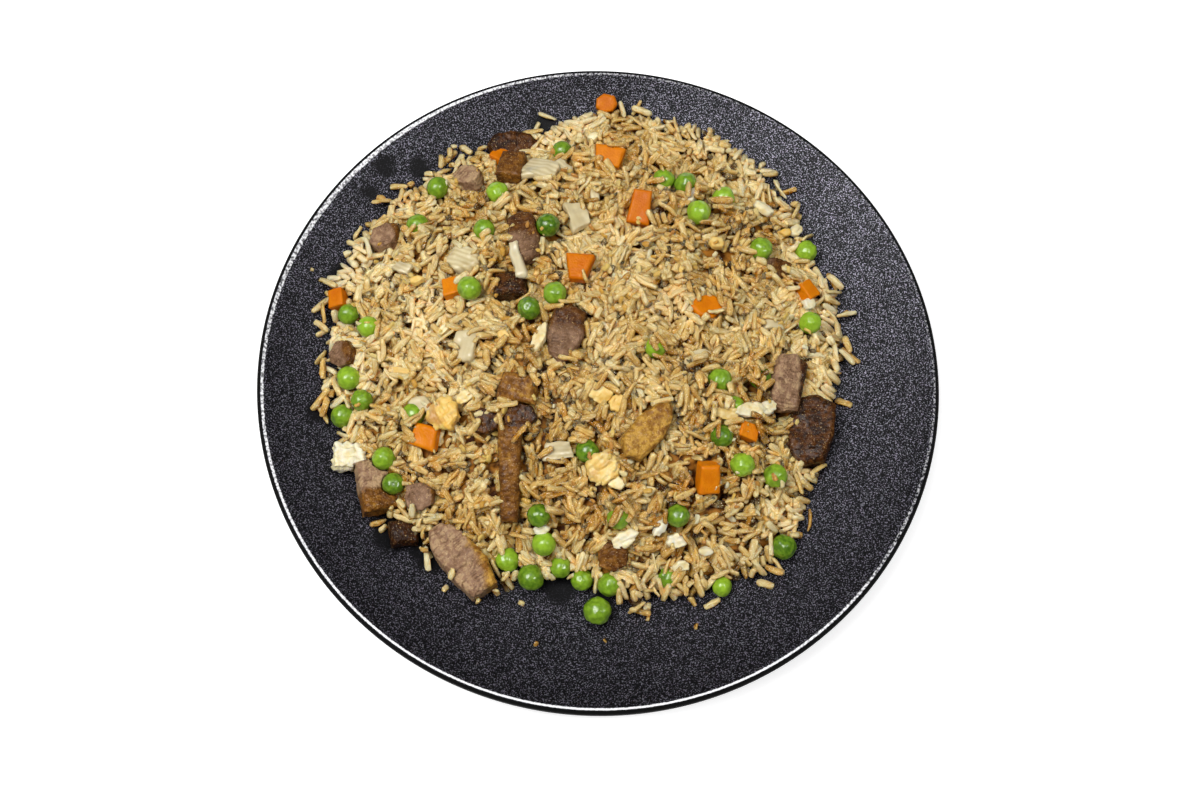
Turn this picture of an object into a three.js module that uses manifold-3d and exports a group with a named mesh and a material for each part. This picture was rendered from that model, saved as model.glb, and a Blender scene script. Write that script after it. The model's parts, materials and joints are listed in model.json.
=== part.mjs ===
// Fried rice served on a round matt black coupe plate: a mound of rice with peas, diced
// carrot, sliced roast pork, scrambled egg and onion lying in it and around its edge.
// Millimetres, +Z up. The origin is the centre of the plate's foot, on the table.
import * as THREE from 'three';
import { mergeVertices } from 'three/addons/utils/BufferGeometryUtils.js';
import Module from 'manifold-3d';

const wasm = await Module();
wasm.setup();

// ---- driving dimensions ----

const PLATE_RADIUS = 120;
const PLATE_SIDES = 48;
const FLOOR_HEIGHT = 6; // top of the flat well above the table
const FLOOR_THICKNESS = 3.6;
const WELL_RADIUS = 66; // where the flat well starts to rise
const LIP_RADIUS = 117; // where the rising well meets the rounded lip
const LIP_HEIGHT = 19; // top of the well at the lip
const RIM_HEIGHT = 20; // top of the rounded lip
const RIM_DEPTH = 4.6; // upright outer band of the lip
const LIP_ROUNDING = 1.2; // how far the lip's outer edge is rounded off downwards
const RISE_POWER = 1.7; // how late the well starts to climb
const WELL_RADII = [108, 98, 88, 77]; // rings of the rising well, from the lip inwards
const UNDER_RADII = [82, 100]; // rings of the underside, from the foot outwards
const FOOT_INNER = 58;
const FOOT_OUTER = 63;
const FOOT_BEVEL = 1.5;

const HEAP_CENTRE = { x: -4, y: 9 };
// Reach of the mound's edge from its centre, every 15 degrees counter-clockwise from +X.
const HEAP_REACH = [
  91, 91, 91, 95, 97, 95, 95, 89, 88, 90, 94, 95, 94, 93, 94, 94, 93, 88, 84, 94, 98, 101, 93, 89,
];
const HEAP_EDGE = 4; // thickness of the mound at its edge
const HEAP_CROWN = 27; // what the middle stands above that
const HEAP_FULLNESS = 0.85; // lower is a fuller shoulder
const HEAP_SIDES = 36;
// Rings of the mound, as shares of its reach: under it, round its edge and over it.
const UNDER_RINGS = [0, 0.3, 0.6, 0.8, 0.96];
const OVER_RINGS = [0.985, 0.93, 0.84, 0.73, 0.6, 0.46, 0.31, 0.15, 0];

const GAP = 0.3; // air between a piece and the dish or rice that carries it
const POCKET = 0.45; // how far a pocket in the rice stands off its piece

const PEA_FLATNESS = 0.95;
const COARSE_BALL_FACE = 0.795; // distance of an icosahedron's faces, as a share of its corners'

const GRAIN_LENGTH = 9;
const GRAIN_WIDTH = 2.6;
const GRAIN_SIDES = 4;
const GRAIN_SCALES = [0.88, 1.1];
const GRAIN_SEED = 20;
const TOP_GRAINS = 92;
const TOP_SPREAD = 0.96; // share of the mound's reach that the top grains cover
const TOP_RISES = [0, 0.35]; // how steeply they rise out of the mound
const TOP_LIFTS = [0.2, 0.7];
const EDGE_GRAINS = 40;
const EDGE_SPREAD = 0.99;
const EDGE_SWING = 0.9; // how far they turn aside from pointing outwards, in radians
const EDGE_RISES = [0, 0.3];
const EDGE_LIFTS = [2.2, 3.8]; // height of their middles over the plate

const DEG = Math.PI / 180;

// ---- finishes ----

const FINISH = {
  plate: { color: 0x1d1d20, roughness: 0.55, metalness: 0 },
  rice: { color: 0xcfae72, roughness: 0.42, metalness: 0 },
  pea: { color: 0x5fa722, roughness: 0.28, metalness: 0 },
  carrot: { color: 0xe9790c, roughness: 0.35, metalness: 0 },
  pork: { color: 0x7d4a26, roughness: 0.4, metalness: 0 },
  egg: { color: 0xe8d79a, roughness: 0.5, metalness: 0 },
  onion: { color: 0xe6ddb4, roughness: 0.35, metalness: 0 },
};

// ---- the surfaces that carry things ----

// Height of the plate's upper face at a distance from its centre.
function wellHeight(radius) {
  const climb = Math.max(0, (radius - WELL_RADIUS) / (LIP_RADIUS - WELL_RADIUS));
  return FLOOR_HEIGHT + (LIP_HEIGHT - FLOOR_HEIGHT) * climb ** RISE_POWER;
}

function plateTop(x, y) {
  return wellHeight(Math.hypot(x, y));
}

// Reach of the mound in one direction, smooth between the listed directions.
function heapReach(angle) {
  const count = HEAP_REACH.length;
  const place = ((angle / (2 * Math.PI)) * count + count) % count;
  const before = Math.floor(place) % count;
  const share = (1 - Math.cos((place - Math.floor(place)) * Math.PI)) / 2;
  return THREE.MathUtils.lerp(HEAP_REACH[before], HEAP_REACH[(before + 1) % count], share);
}

// Clumps in the rice, a few millimetres across the mound's surface.
function clumps(x, y) {
  const broad = Math.sin(x / 11 + 1.3) * Math.sin(y / 13 + 0.4);
  const fine = Math.sin((x + y) / 7 + 2) * Math.sin((x - y) / 8);
  return 1.3 * broad + 0.8 * fine;
}

function heapShare(x, y) {
  const dx = x - HEAP_CENTRE.x;
  const dy = y - HEAP_CENTRE.y;
  return Math.hypot(dx, dy) / heapReach(Math.atan2(dy, dx));
}

function heapTop(x, y) {
  const inside = Math.max(0, 1 - heapShare(x, y) ** 2);
  const swell = Math.min(1, inside * 4);
  return plateTop(x, y) + HEAP_EDGE + HEAP_CROWN * inside ** HEAP_FULLNESS + swell * clumps(x, y);
}

const CARRIER = { plate: plateTop, rice: heapTop };

// Unit normal of a height function.
function normalOf(height, x, y) {
  const step = 2;
  const slopeX = (height(x + step, y) - height(x - step, y)) / (2 * step);
  const slopeY = (height(x, y + step) - height(x, y - step)) / (2 * step);
  return new THREE.Vector3(-slopeX, -slopeY, 1).normalize();
}

// ---- closed meshes and solids ----

// The same triangles with shared corners merged and flat slivers left out.
function closed(geometry) {
  const bare = geometry.clone();
  bare.deleteAttribute('normal');
  bare.deleteAttribute('uv');
  const merged = mergeVertices(bare, 1e-4);
  const corners = merged.index.array;
  const kept = [];
  for (let i = 0; i < corners.length; i += 3) {
    const [a, b, c] = [corners[i], corners[i + 1], corners[i + 2]];
    if (a !== b && b !== c && c !== a) kept.push(a, b, c);
  }
  merged.setIndex(kept);
  return merged;
}

function toSolid(geometry) {
  const mesh = closed(geometry);
  return new wasm.Manifold(new wasm.Mesh({
    numProp: 3,
    vertProperties: new Float32Array(mesh.attributes.position.array),
    triVerts: new Uint32Array(mesh.index.array),
  }));
}

function toGeometry(solid) {
  const mesh = solid.getMesh();
  const geometry = new THREE.BufferGeometry();
  geometry.setAttribute('position', new THREE.BufferAttribute(new Float32Array(mesh.vertProperties), 3));
  geometry.setIndex(Array.from(mesh.triVerts));
  return geometry;
}

function isEmpty(solid) {
  return solid.getMesh().triVerts.length === 0;
}

// The geometry with every corner moved outwards.
function grown(geometry, distance) {
  const mesh = closed(geometry);
  mesh.computeVertexNormals();
  const { position, normal } = mesh.attributes;
  for (let i = 0; i < position.count; i += 1) {
    position.setXYZ(
      i,
      position.getX(i) + normal.getX(i) * distance,
      position.getY(i) + normal.getY(i) * distance,
      position.getZ(i) + normal.getZ(i) * distance,
    );
  }
  return mesh;
}

// A mesh's geometry where the mesh stands.
function placed(mesh, geometry = mesh.geometry) {
  mesh.updateMatrix();
  return geometry.clone().applyMatrix4(mesh.matrix);
}

// Repeatable numbers from 0 to 1.
function seededRandom(seed) {
  let state = seed;
  return () => {
    state = (state + 0x6d2b79f5) | 0;
    let mixed = Math.imul(state ^ (state >>> 15), 1 | state);
    mixed = (mixed + Math.imul(mixed ^ (mixed >>> 7), 61 | mixed)) ^ mixed;
    return ((mixed ^ (mixed >>> 14)) >>> 0) / 4294967296;
  };
}

// ---- the plate ----

// One turned profile: foot ring, underside, upright lip and the rising well.
function plateProfile() {
  const profile = [
    [0, FLOOR_HEIGHT - FLOOR_THICKNESS],
    [FOOT_INNER - 1, FLOOR_HEIGHT - FLOOR_THICKNESS],
    [FOOT_INNER, 0],
    [FOOT_OUTER, 0],
    [FOOT_OUTER + FOOT_BEVEL, FLOOR_HEIGHT - FLOOR_THICKNESS],
  ];
  for (const radius of UNDER_RADII) profile.push([radius, wellHeight(radius) - FLOOR_THICKNESS]);
  profile.push(
    [LIP_RADIUS, RIM_HEIGHT - RIM_DEPTH - 0.6],
    [PLATE_RADIUS, RIM_HEIGHT - RIM_DEPTH + 0.8],
    [PLATE_RADIUS, RIM_HEIGHT - LIP_ROUNDING],
    [PLATE_RADIUS - 1, RIM_HEIGHT],
    [LIP_RADIUS + 0.8, RIM_HEIGHT],
    [LIP_RADIUS, LIP_HEIGHT],
  );
  for (const radius of WELL_RADII) profile.push([radius, wellHeight(radius)]);
  profile.push([WELL_RADIUS, FLOOR_HEIGHT], [0, FLOOR_HEIGHT]);
  return profile.map(([radius, height]) => new THREE.Vector2(radius, height));
}

function makePlate() {
  const geometry = closed(new THREE.LatheGeometry(plateProfile(), PLATE_SIDES));
  geometry.rotateX(Math.PI / 2);
  return named('plate', geometry, FINISH.plate);
}

// ---- toppings ----

function named(name, geometry, finish) {
  const mesh = new THREE.Mesh(geometry, new THREE.MeshStandardMaterial(finish));
  mesh.name = name;
  return mesh;
}

// Lays a mesh on its carrier: its own Z along the surface's normal, turned about it, then
// leaned about its own X, with its middle lifted off the surface.
function settle(mesh, { on, x, y, lift, turn = 0, lean = 0 }) {
  const normal = normalOf(CARRIER[on], x, y);
  const upright = new THREE.Quaternion().setFromUnitVectors(new THREE.Vector3(0, 0, 1), normal);
  const turned = new THREE.Quaternion().setFromEuler(new THREE.Euler(lean * DEG, 0, turn * DEG, 'ZYX'));
  mesh.quaternion.copy(upright).multiply(turned);
  mesh.position.set(x, y, CARRIER[on](x, y)).addScaledVector(normal, lift);
  return mesh;
}

// A pea is a little flatter one way, as it dries. Detail 0 is the plain icosahedron.
function peaShape(diameter, flat = PEA_FLATNESS, detail = 1) {
  const geometry = new THREE.IcosahedronGeometry(diameter / 2, detail);
  return geometry.scale(1, flat, flat);
}

// A flat piece cut from a slab: an outline with softened edges, centred on its thickness.
function slabShape(outline, thickness, soften) {
  const shape = new THREE.Shape(outline.map(([x, y]) => new THREE.Vector2(x, y)));
  const geometry = new THREE.ExtrudeGeometry(shape, {
    depth: thickness - 2 * soften,
    bevelEnabled: soften > 0,
    bevelThickness: soften,
    bevelSize: soften,
    bevelOffset: -soften,
    bevelSegments: 1,
  });
  return geometry.translate(0, 0, soften - thickness / 2);
}

// A sharp-edged slab that stands off a piece by the same distance on every side.
function slabPocket(outline, thickness) {
  const wide = Math.max(...outline.map(([x]) => Math.abs(x)));
  const high = Math.max(...outline.map(([, y]) => Math.abs(y)));
  const larger = outline.map(([x, y]) => [x * (1 + POCKET / wide), y * (1 + POCKET / high)]);
  return slabShape(larger, thickness + 2 * POCKET, 0);
}

// The coarse ball round a pea, its flat faces clear of the pea.
function peaPocket(diameter, flat = PEA_FLATNESS) {
  return peaShape((diameter + 2 * GAP) / COARSE_BALL_FACE, flat, 0);
}

// Corners round an ellipse, each pushed in or out, for meat and egg torn or cut by hand.
function roundOutline(width, height, pushes) {
  return pushes.map((push, i) => {
    const angle = (i / pushes.length) * 2 * Math.PI;
    return [(width / 2) * push * Math.cos(angle), (height / 2) * push * Math.sin(angle)];
  });
}

function boxOutline(width, height, taper = 1) {
  return [
    [-width / 2, -height / 2],
    [width / 2, -height / 2],
    [(width / 2) * taper, height / 2],
    [(-width / 2) * taper, height / 2],
  ];
}

// Bends a shape about its own Y axis, so that its sides stand up by the depth.
function curled(geometry, depth) {
  const position = geometry.attributes.position;
  geometry.computeBoundingBox();
  const half = geometry.boundingBox.max.x;
  for (let i = 0; i < position.count; i += 1) {
    const share = position.getX(i) / half;
    position.setZ(i, position.getZ(i) + depth * share * share);
  }
  return geometry;
}

// Peas: place, diameter, what carries them, lift of the centre, and how flat they are.
const PEAS = [
  { x: -41, y: 61, size: 8.6, on: 'rice', lift: 1.2 },
  { x: -21.5, y: 45, size: 9, on: 'rice', lift: 2.4 },
  { x: -46.5, y: 20, size: 9, on: 'rice', lift: 2.2 },
  { x: -24.8, y: 13.2, size: 8.6, on: 'rice', lift: 2.6 },
  { x: -16.8, y: 18.2, size: 8.6, on: 'rice', lift: 2.6 },
  { x: -82, y: 8, size: 8.4, on: 'rice', lift: 0.8 },
  { x: -87.5, y: -10.3, size: 8.8, on: 'rice', lift: 0.2 },
  { x: -81.8, y: -18.2, size: 8.4, on: 'rice', lift: 0 },
  { x: -89.8, y: -23.6, size: 9, on: 'plate', lift: 5.2 },
  { x: 26.5, y: 70, size: 8.6, on: 'rice', lift: 0.8 },
  { x: 31.2, y: 57, size: 9.2, on: 'rice', lift: 1.6 },
  { x: 54.4, y: 47.5, size: 9, on: 'rice', lift: 1.6 },
  { x: 73.8, y: 52.8, size: 9, on: 'plate', lift: 5.4 },
  { x: 73.2, y: 21, size: 8.6, on: 'rice', lift: 1.2 },
  { x: 41.2, y: -6, size: 9, on: 'rice', lift: 0.6 },
  { x: 50, y: -34.4, size: 9, on: 'rice', lift: 1.6 },
  { x: 61.8, y: -35.6, size: 8.8, on: 'rice', lift: 1.8 },
  { x: 29.4, y: -53, size: 8.4, on: 'rice', lift: 1 },
  { x: 67.8, y: -59.8, size: 9.4, on: 'plate', lift: 4.9 },
  { x: 47, y: -74.4, size: 9, on: 'plate', lift: 3.7, flat: 0.72 },
  { x: 28.5, y: -73, size: 8.6, on: 'plate', lift: 6 },
  { x: -1.1, y: -75, size: 8.2, on: 'plate', lift: 4.5 },
  { x: 8.5, y: -76.4, size: 9, on: 'plate', lift: 6 },
  { x: 4.8, y: -86.2, size: 10, on: 'plate', lift: 5.3 },
  { x: -71.7, y: -38.4, size: 8.6, on: 'rice', lift: 0.8 },
  { x: -67.2, y: -47.2, size: 8, on: 'rice', lift: 0.8 },
  { x: -16.8, y: -55.6, size: 8.6, on: 'rice', lift: 1.4 },
  { x: -14.6, y: -64.1, size: 8.6, on: 'rice', lift: 1.2 },
  { x: -27, y: -70, size: 8.8, on: 'plate', lift: 5.6 },
  { x: -18.6, y: -75.8, size: 9.8, on: 'plate', lift: 5.3 },
  { x: -8.7, y: -71.4, size: 8, on: 'plate', lift: 6.4 },
];

// Carrot dice: outline, thickness and how each lies.
const CARROTS = [
  { outline: roundOutline(8.6, 7.4, [1, 1.1, 1, 0.95, 1, 1.1, 1]), thick: 6,
    on: 'plate', x: -4.5, y: 107, lift: 3.5 },
  { outline: boxOutline(9, 8, 1.25), thick: 5.5,
    on: 'rice', x: -1.8, y: 79, lift: 0.4, turn: -8, lean: 10 },
  { outline: boxOutline(8.2, 12.6, 0.8), thick: 7,
    on: 'rice', x: 10.5, y: 57, lift: 1.4, turn: -6, lean: 24 },
  { outline: boxOutline(5.4, 9.6, 1.9), thick: 5,
    on: 'rice', x: -9.5, y: 30, lift: 0.6, turn: -4, lean: 8 },
  { outline: roundOutline(13, 10, [1, 0.85, 1, 1.1, 0.9, 1.05, 1]), thick: 5,
    on: 'rice', x: 35.5, y: 20.5, lift: 0.2, turn: 35 },
  { outline: boxOutline(7.4, 10.4, 0.9), thick: 6.5,
    on: 'rice', x: 38.7, y: -39.6, lift: 0.8, turn: 8, lean: 12 },
  { outline: boxOutline(10, 8, 0.85), thick: 5, on: 'rice', x: -57.9, y: -31.2, lift: -0.2, turn: -15 },
];

// A slice cut aslant: narrow at one end, its long sides not quite even.
const ASLANT_SLICE = [
  [-14.5, -3], [-9, -6.4], [3, -7], [13.6, -6], [14.4, 3.6], [5, 6.8], [-9, 5.6], [-14, 2],
];

// Roast pork: slices, strips and cubes.
const PORK = [
  { outline: roundOutline(19, 11, [1, 1.08, 1, 1, 0.94, 1.06, 1, 0.95]), thick: 8,
    on: 'plate', x: -39.4, y: 87.5, lift: 6, turn: 6 },
  { outline: boxOutline(9.6, 11.5, 0.9), thick: 8,
    on: 'rice', x: -37, y: 73, lift: 1.4, turn: -8, lean: 14 },
  { outline: roundOutline(12, 20, [1, 1.12, 1, 1.16, 0.86, 1.06, 0.96, 1.1]), thick: 6.5,
    on: 'rice', x: -29.6, y: 41, lift: 0.4, turn: 12, lean: 6 },
  { outline: boxOutline(11.5, 8.5, 0.94), thick: 8, on: 'rice', x: -32.8, y: 22.6, lift: -0.6, turn: 4 },
  { outline: roundOutline(13.6, 21, [0.9, 1.16, 1, 1.12, 0.94, 0.9, 1, 0.86]), thick: 6.5,
    on: 'rice', x: -12.2, y: 4, lift: 1, turn: -6, lean: 8 },
  { outline: boxOutline(14, 9.6, 0.78), thick: 7,
    on: 'rice', x: -26.8, y: -15, lift: 0.6, turn: -8, lean: 12 },
  { outline: boxOutline(6, 33, 1.4), thick: 6, on: 'rice', x: -27.6, y: -43, lift: 0.2, turn: 3 },
  { outline: boxOutline(12, 18, 0.82), thick: 9,
    on: 'plate', x: -75.6, y: -49, lift: 6.4, turn: 20, lean: 4 },
  { outline: boxOutline(10.6, 8.6, 0.85), thick: 6,
    on: 'plate', x: -63.4, y: -63.6, lift: 3.6, turn: 192 },
  { outline: ASLANT_SLICE, thick: 8.6, on: 'plate', x: -42.6, y: -72, lift: 6.2, turn: -46, lean: 8 },
  { outline: roundOutline(13.4, 22, [0.9, 1.1, 1, 1.15, 0.92, 1.08, 0.96, 1.12]), thick: 8,
    on: 'rice', x: 65.2, y: -2.4, lift: 0.4, turn: -10 },
  { outline: roundOutline(18.6, 27, [0.92, 1.1, 0.96, 1.02, 0.94, 0.98, 1, 1.04]), thick: 9,
    on: 'plate', x: 76.4, y: -17, lift: 7, turn: -10, lean: 5 },
  { outline: roundOutline(25, 12.6, [0.9, 0.82, 0.84, 1.04, 1, 1.14, 1, 0.9]), thick: 7,
    on: 'rice', x: 17.8, y: -25.6, lift: 1, turn: 54, lean: 4 },
];

// Scrambled egg: one pale chunk and two folded pieces.
const EGGS = [
  { outline: boxOutline(11.6, 9, 0.85), thick: 7,
    on: 'plate', x: -85.6, y: -38.6, lift: 4.6, turn: 10, curl: 0.4 },
  { outline: roundOutline(12, 12, [1, 1.04, 0.94, 1, 1.08, 0.96, 1.02]), thick: 5,
    on: 'rice', x: 3.4, y: -39.4, lift: 0.9, turn: 20, curl: -1 },
  { outline: roundOutline(13, 13, [1, 0.86, 1.08, 0.9, 1.05, 0.9, 1]), thick: 4,
    on: 'rice', x: -51, y: -24, lift: 1.1, turn: -12, curl: 1.4 },
];

// Onion: a fanned wedge of layers and a thick white stick.
const ONIONS = [
  { outline: roundOutline(13.6, 10.5, [1, 1.05, 0.96, 1.08, 1, 0.9, 1.02, 0.94]), thick: 4.5,
    on: 'rice', x: -50.6, y: 32.8, lift: 0.8, turn: -20, curl: -1.5 },
  { outline: boxOutline(4.6, 14.5, 0.8), thick: 3.2,
    on: 'rice', x: -30.4, y: 31.2, lift: 4.4, turn: 18, curl: -0.8 },
];

// The family's name, its pieces, their finish and how far their edges are softened.
const CUT_FOOD = [
  { family: 'carrot', pieces: CARROTS, finish: FINISH.carrot, soften: 0.7 },
  { family: 'pork', pieces: PORK, finish: FINISH.pork, soften: 1.1 },
  { family: 'egg', pieces: EGGS, finish: FINISH.egg, soften: 1 },
  { family: 'onion', pieces: ONIONS, finish: FINISH.onion, soften: 0.7 },
];

function numbered(family, index) {
  return `${family}_${String(index + 1).padStart(2, '0')}`;
}

// Each topping is a mesh with its pocket, the solid that it keeps free in what is round it.
function makePeas() {
  return PEAS.map((pea, i) => {
    const mesh = settle(named(numbered('pea', i), closed(peaShape(pea.size, pea.flat)), FINISH.pea), pea);
    return { mesh, pocket: toSolid(placed(mesh, peaPocket(pea.size, pea.flat))) };
  });
}

function makeCutFood({ family, pieces, finish, soften }) {
  return pieces.map((piece, i) => {
    const slab = closed(slabShape(piece.outline, piece.thick, soften));
    const shape = piece.curl ? curled(slab, piece.curl) : slab;
    const mesh = settle(named(numbered(family, i), shape, finish), piece);
    const around = piece.curl ? grown(shape, POCKET) : slabPocket(piece.outline, piece.thick);
    return { mesh, pocket: toSolid(placed(mesh, around)) };
  });
}

// Where two pieces press on each other, the later one is dented by the earlier.
function dentByEarlier(toppings) {
  const earlier = [];
  for (const { mesh } of toppings) {
    const solid = toSolid(placed(mesh));
    const pressing = earlier.filter((other) => !isEmpty(solid.intersect(other)));
    if (pressing.length > 0) {
      const dented = pressing.reduce((left, other) => left.subtract(other), solid);
      mesh.geometry = toGeometry(dented).applyMatrix4(mesh.matrix.clone().invert());
    }
    earlier.push(toSolid(grown(placed(mesh), POCKET)));
  }
  return earlier.reduce((all, other) => all.add(other));
}

// ---- the rice ----

// The bare mound: a turned disc whose rings are drawn out to the uneven reach, its lower
// face just clear of the plate and its upper face at the heap's height.
function heapCore() {
  const rings = [
    ...UNDER_RINGS.map((share) => new THREE.Vector2(share, -1)),
    new THREE.Vector2(1, 0),
    ...OVER_RINGS.map((share) => new THREE.Vector2(share, 1)),
  ];
  const geometry = closed(new THREE.LatheGeometry(rings, HEAP_SIDES));
  geometry.rotateX(Math.PI / 2);
  const position = geometry.attributes.position;
  for (let i = 0; i < position.count; i += 1) {
    const reach = heapReach(Math.atan2(position.getY(i), position.getX(i)));
    const x = HEAP_CENTRE.x + position.getX(i) * reach;
    const y = HEAP_CENTRE.y + position.getY(i) * reach;
    const low = plateTop(x, y) + GAP;
    const layer = (position.getZ(i) + 1) / 2;
    position.setXYZ(i, x, y, THREE.MathUtils.lerp(low, heapTop(x, y), layer));
  }
  return toSolid(geometry);
}

// Smaller pieces that the rice half covers: each kind's shape, lift and where it shows.
const HALF_BURIED = [
  {
    shape: () => peaShape(8.4, PEA_FLATNESS, 0),
    lift: 0.4,
    places: [
      [-19.5, 83], [-69.4, 48.7], [-44.5, 45.5], [40.7, 66.5], [18.7, 2.8], [56.5, -2], [-2.3, -34.2],
      [43.4, -25], [9.7, -56], [46.8, -14], [-62.8, -23.5], [-90.5, 13.5], [-64, 65.5], [18.8, 72.4],
    ],
  },
  {
    shape: () => slabShape(boxOutline(6, 7), 5, 0),
    lift: 0,
    places: [[-95, 19.5], [72.6, 34], [52, -22], [-53.6, 21.4], [-42, 80]],
  },
  {
    shape: () => slabShape(boxOutline(9, 10, 0.8), 5, 0),
    lift: 0.4,
    places: [[-36.8, -27], [-80, 43.5], [-53.5, 69.5], [-90.5, -2], [61.5, 41], [-58, -51.5], [9.4, -67]],
  },
  {
    shape: () => slabShape(boxOutline(8, 9, 0.6), 4, 0),
    lift: 0.7,
    places: [
      [-20.5, 3], [12, -61.5], [28.4, 64], [55.4, 65], [68, 58.6], [51.5, -15], [30, -60.5],
      [1.4, -15.4], [-46.6, -0.4], [-26, 72], [-11.4, 52], [-12, -35], [32, -68.5],
    ],
  },
];

function halfBuriedPieces() {
  return HALF_BURIED.flatMap(({ shape, lift, places }) => places.map(([x, y], i) => {
    const mesh = settle(new THREE.Mesh(shape()), { on: 'rice', x, y, lift, turn: 47 * i });
    return toSolid(placed(mesh));
  }));
}

// A random value in a range.
function between([low, high], random) {
  return low + (high - low) * random();
}

// One cooked grain at a place, its length along a direction.
function grainGeometry(centre, direction, scale) {
  const radius = (GRAIN_WIDTH / 2) * scale;
  const geometry = new THREE.CapsuleGeometry(radius, GRAIN_LENGTH * scale - 2 * radius, 1, GRAIN_SIDES);
  const along = new THREE.Quaternion().setFromUnitVectors(new THREE.Vector3(0, 1, 0), direction);
  return geometry.applyQuaternion(along).translate(centre.x, centre.y, centre.z);
}

// Directions in the surface at a place, rising out of it by a share of their length.
function grainDirection(normal, heading, rise) {
  const flat = new THREE.Vector3(Math.cos(heading), Math.sin(heading), 0);
  flat.addScaledVector(normal, -flat.dot(normal)).normalize();
  return flat.addScaledVector(normal, rise).normalize();
}

// Grains lying all over the mound, spread by the golden angle.
function topGrains(random) {
  const golden = Math.PI * (3 - Math.sqrt(5));
  return Array.from({ length: TOP_GRAINS }, (_, i) => {
    const angle = i * golden;
    const out = TOP_SPREAD * Math.sqrt((i + 0.5) / TOP_GRAINS) * heapReach(angle);
    const x = HEAP_CENTRE.x + out * Math.cos(angle);
    const y = HEAP_CENTRE.y + out * Math.sin(angle);
    const normal = normalOf(heapTop, x, y);
    const direction = grainDirection(normal, random() * 2 * Math.PI, between(TOP_RISES, random));
    const centre = new THREE.Vector3(x, y, heapTop(x, y));
    centre.addScaledVector(normal, between(TOP_LIFTS, random));
    return grainGeometry(centre, direction, between(GRAIN_SCALES, random));
  });
}

// Grains that stick out round the foot of the mound.
function edgeGrains(random) {
  return Array.from({ length: EDGE_GRAINS }, (_, i) => {
    const angle = ((i + random() * 0.6) / EDGE_GRAINS) * 2 * Math.PI;
    const out = heapReach(angle) * EDGE_SPREAD;
    const x = HEAP_CENTRE.x + out * Math.cos(angle);
    const y = HEAP_CENTRE.y + out * Math.sin(angle);
    const normal = normalOf(plateTop, x, y);
    const heading = angle + between([-EDGE_SWING, EDGE_SWING], random);
    const direction = grainDirection(normal, heading, between(EDGE_RISES, random));
    const centre = new THREE.Vector3(x, y, plateTop(x, y) + between(EDGE_LIFTS, random));
    return grainGeometry(centre, direction, between(GRAIN_SCALES, random));
  });
}

function clearsPlate(geometry) {
  const position = geometry.attributes.position;
  for (let i = 0; i < position.count; i += 1) {
    if (position.getZ(i) < plateTop(position.getX(i), position.getY(i)) + GAP) return false;
  }
  return true;
}

// The core with the half-buried pieces, less the toppings' pockets, and then the grains
// that clear the plate and the space the toppings take.
function makeRice(pockets, taken) {
  let rice = halfBuriedPieces().reduce((all, piece) => all.add(piece), heapCore());
  rice = pockets.reduce((left, pocket) => left.subtract(pocket), rice);
  const random = seededRandom(GRAIN_SEED);
  for (const grain of [...topGrains(random), ...edgeGrains(random)]) {
    const solid = toSolid(grain);
    if (clearsPlate(grain) && isEmpty(solid.intersect(taken))) rice = rice.add(solid);
  }
  return named('rice_heap', toGeometry(rice), FINISH.rice);
}

// ---- the whole dish ----

const toppings = [...makePeas(), ...CUT_FOOD.flatMap(makeCutFood)];
const taken = dentByEarlier(toppings);

const dish = new THREE.Group();
dish.add(makePlate(), makeRice(toppings.map(({ pocket }) => pocket), taken));
dish.add(...toppings.map(({ mesh }) => mesh));

export default dish;
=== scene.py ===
"""Fried rice served on a round matt black coupe plate.

Every piece is made by an operator of its own, listed in the 3D view's sidebar under Fried rice.
The tables and the shapes are in millimetres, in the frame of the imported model: the plate's foot
stands on the table at the origin and +Z is up. Meshes are turned into metres as they are made.
"""
import itertools
import json
import math
from collections import namedtuple

import bmesh
import bpy
import numpy as np
from bpy.props import FloatProperty, FloatVectorProperty, IntProperty, PointerProperty
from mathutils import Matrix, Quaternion, Vector
from mathutils.bvhtree import BVHTree

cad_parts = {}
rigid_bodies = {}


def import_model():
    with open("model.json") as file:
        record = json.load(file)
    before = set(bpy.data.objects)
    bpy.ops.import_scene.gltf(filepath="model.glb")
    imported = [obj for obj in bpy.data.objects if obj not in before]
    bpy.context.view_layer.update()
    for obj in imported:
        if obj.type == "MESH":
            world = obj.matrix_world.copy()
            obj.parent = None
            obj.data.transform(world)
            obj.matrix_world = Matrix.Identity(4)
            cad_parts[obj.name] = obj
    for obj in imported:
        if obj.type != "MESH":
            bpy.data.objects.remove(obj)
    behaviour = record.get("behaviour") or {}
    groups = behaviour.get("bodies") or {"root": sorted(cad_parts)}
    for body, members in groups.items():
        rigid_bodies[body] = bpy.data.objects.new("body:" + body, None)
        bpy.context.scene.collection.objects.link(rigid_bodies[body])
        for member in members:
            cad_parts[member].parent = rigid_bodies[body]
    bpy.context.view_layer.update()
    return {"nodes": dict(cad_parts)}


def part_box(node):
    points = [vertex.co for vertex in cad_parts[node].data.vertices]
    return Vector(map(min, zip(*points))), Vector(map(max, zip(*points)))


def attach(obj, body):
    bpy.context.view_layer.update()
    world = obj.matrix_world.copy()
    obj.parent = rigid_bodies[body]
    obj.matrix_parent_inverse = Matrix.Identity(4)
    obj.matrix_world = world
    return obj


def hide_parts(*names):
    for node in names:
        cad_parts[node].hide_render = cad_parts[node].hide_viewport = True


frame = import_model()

bl_info = {
    "name": "Fried rice plate",
    "version": (1, 0, 0),
    "blender": (4, 5, 0),
    "location": "View3D > Sidebar > Fried rice",
    "description": "Makes a plate of fried rice with peas, carrot, roast pork, egg and onion",
    "category": "Add Mesh",
}

MM = 0.001

# ---- the dish's own sizes, in millimetres ----

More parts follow.
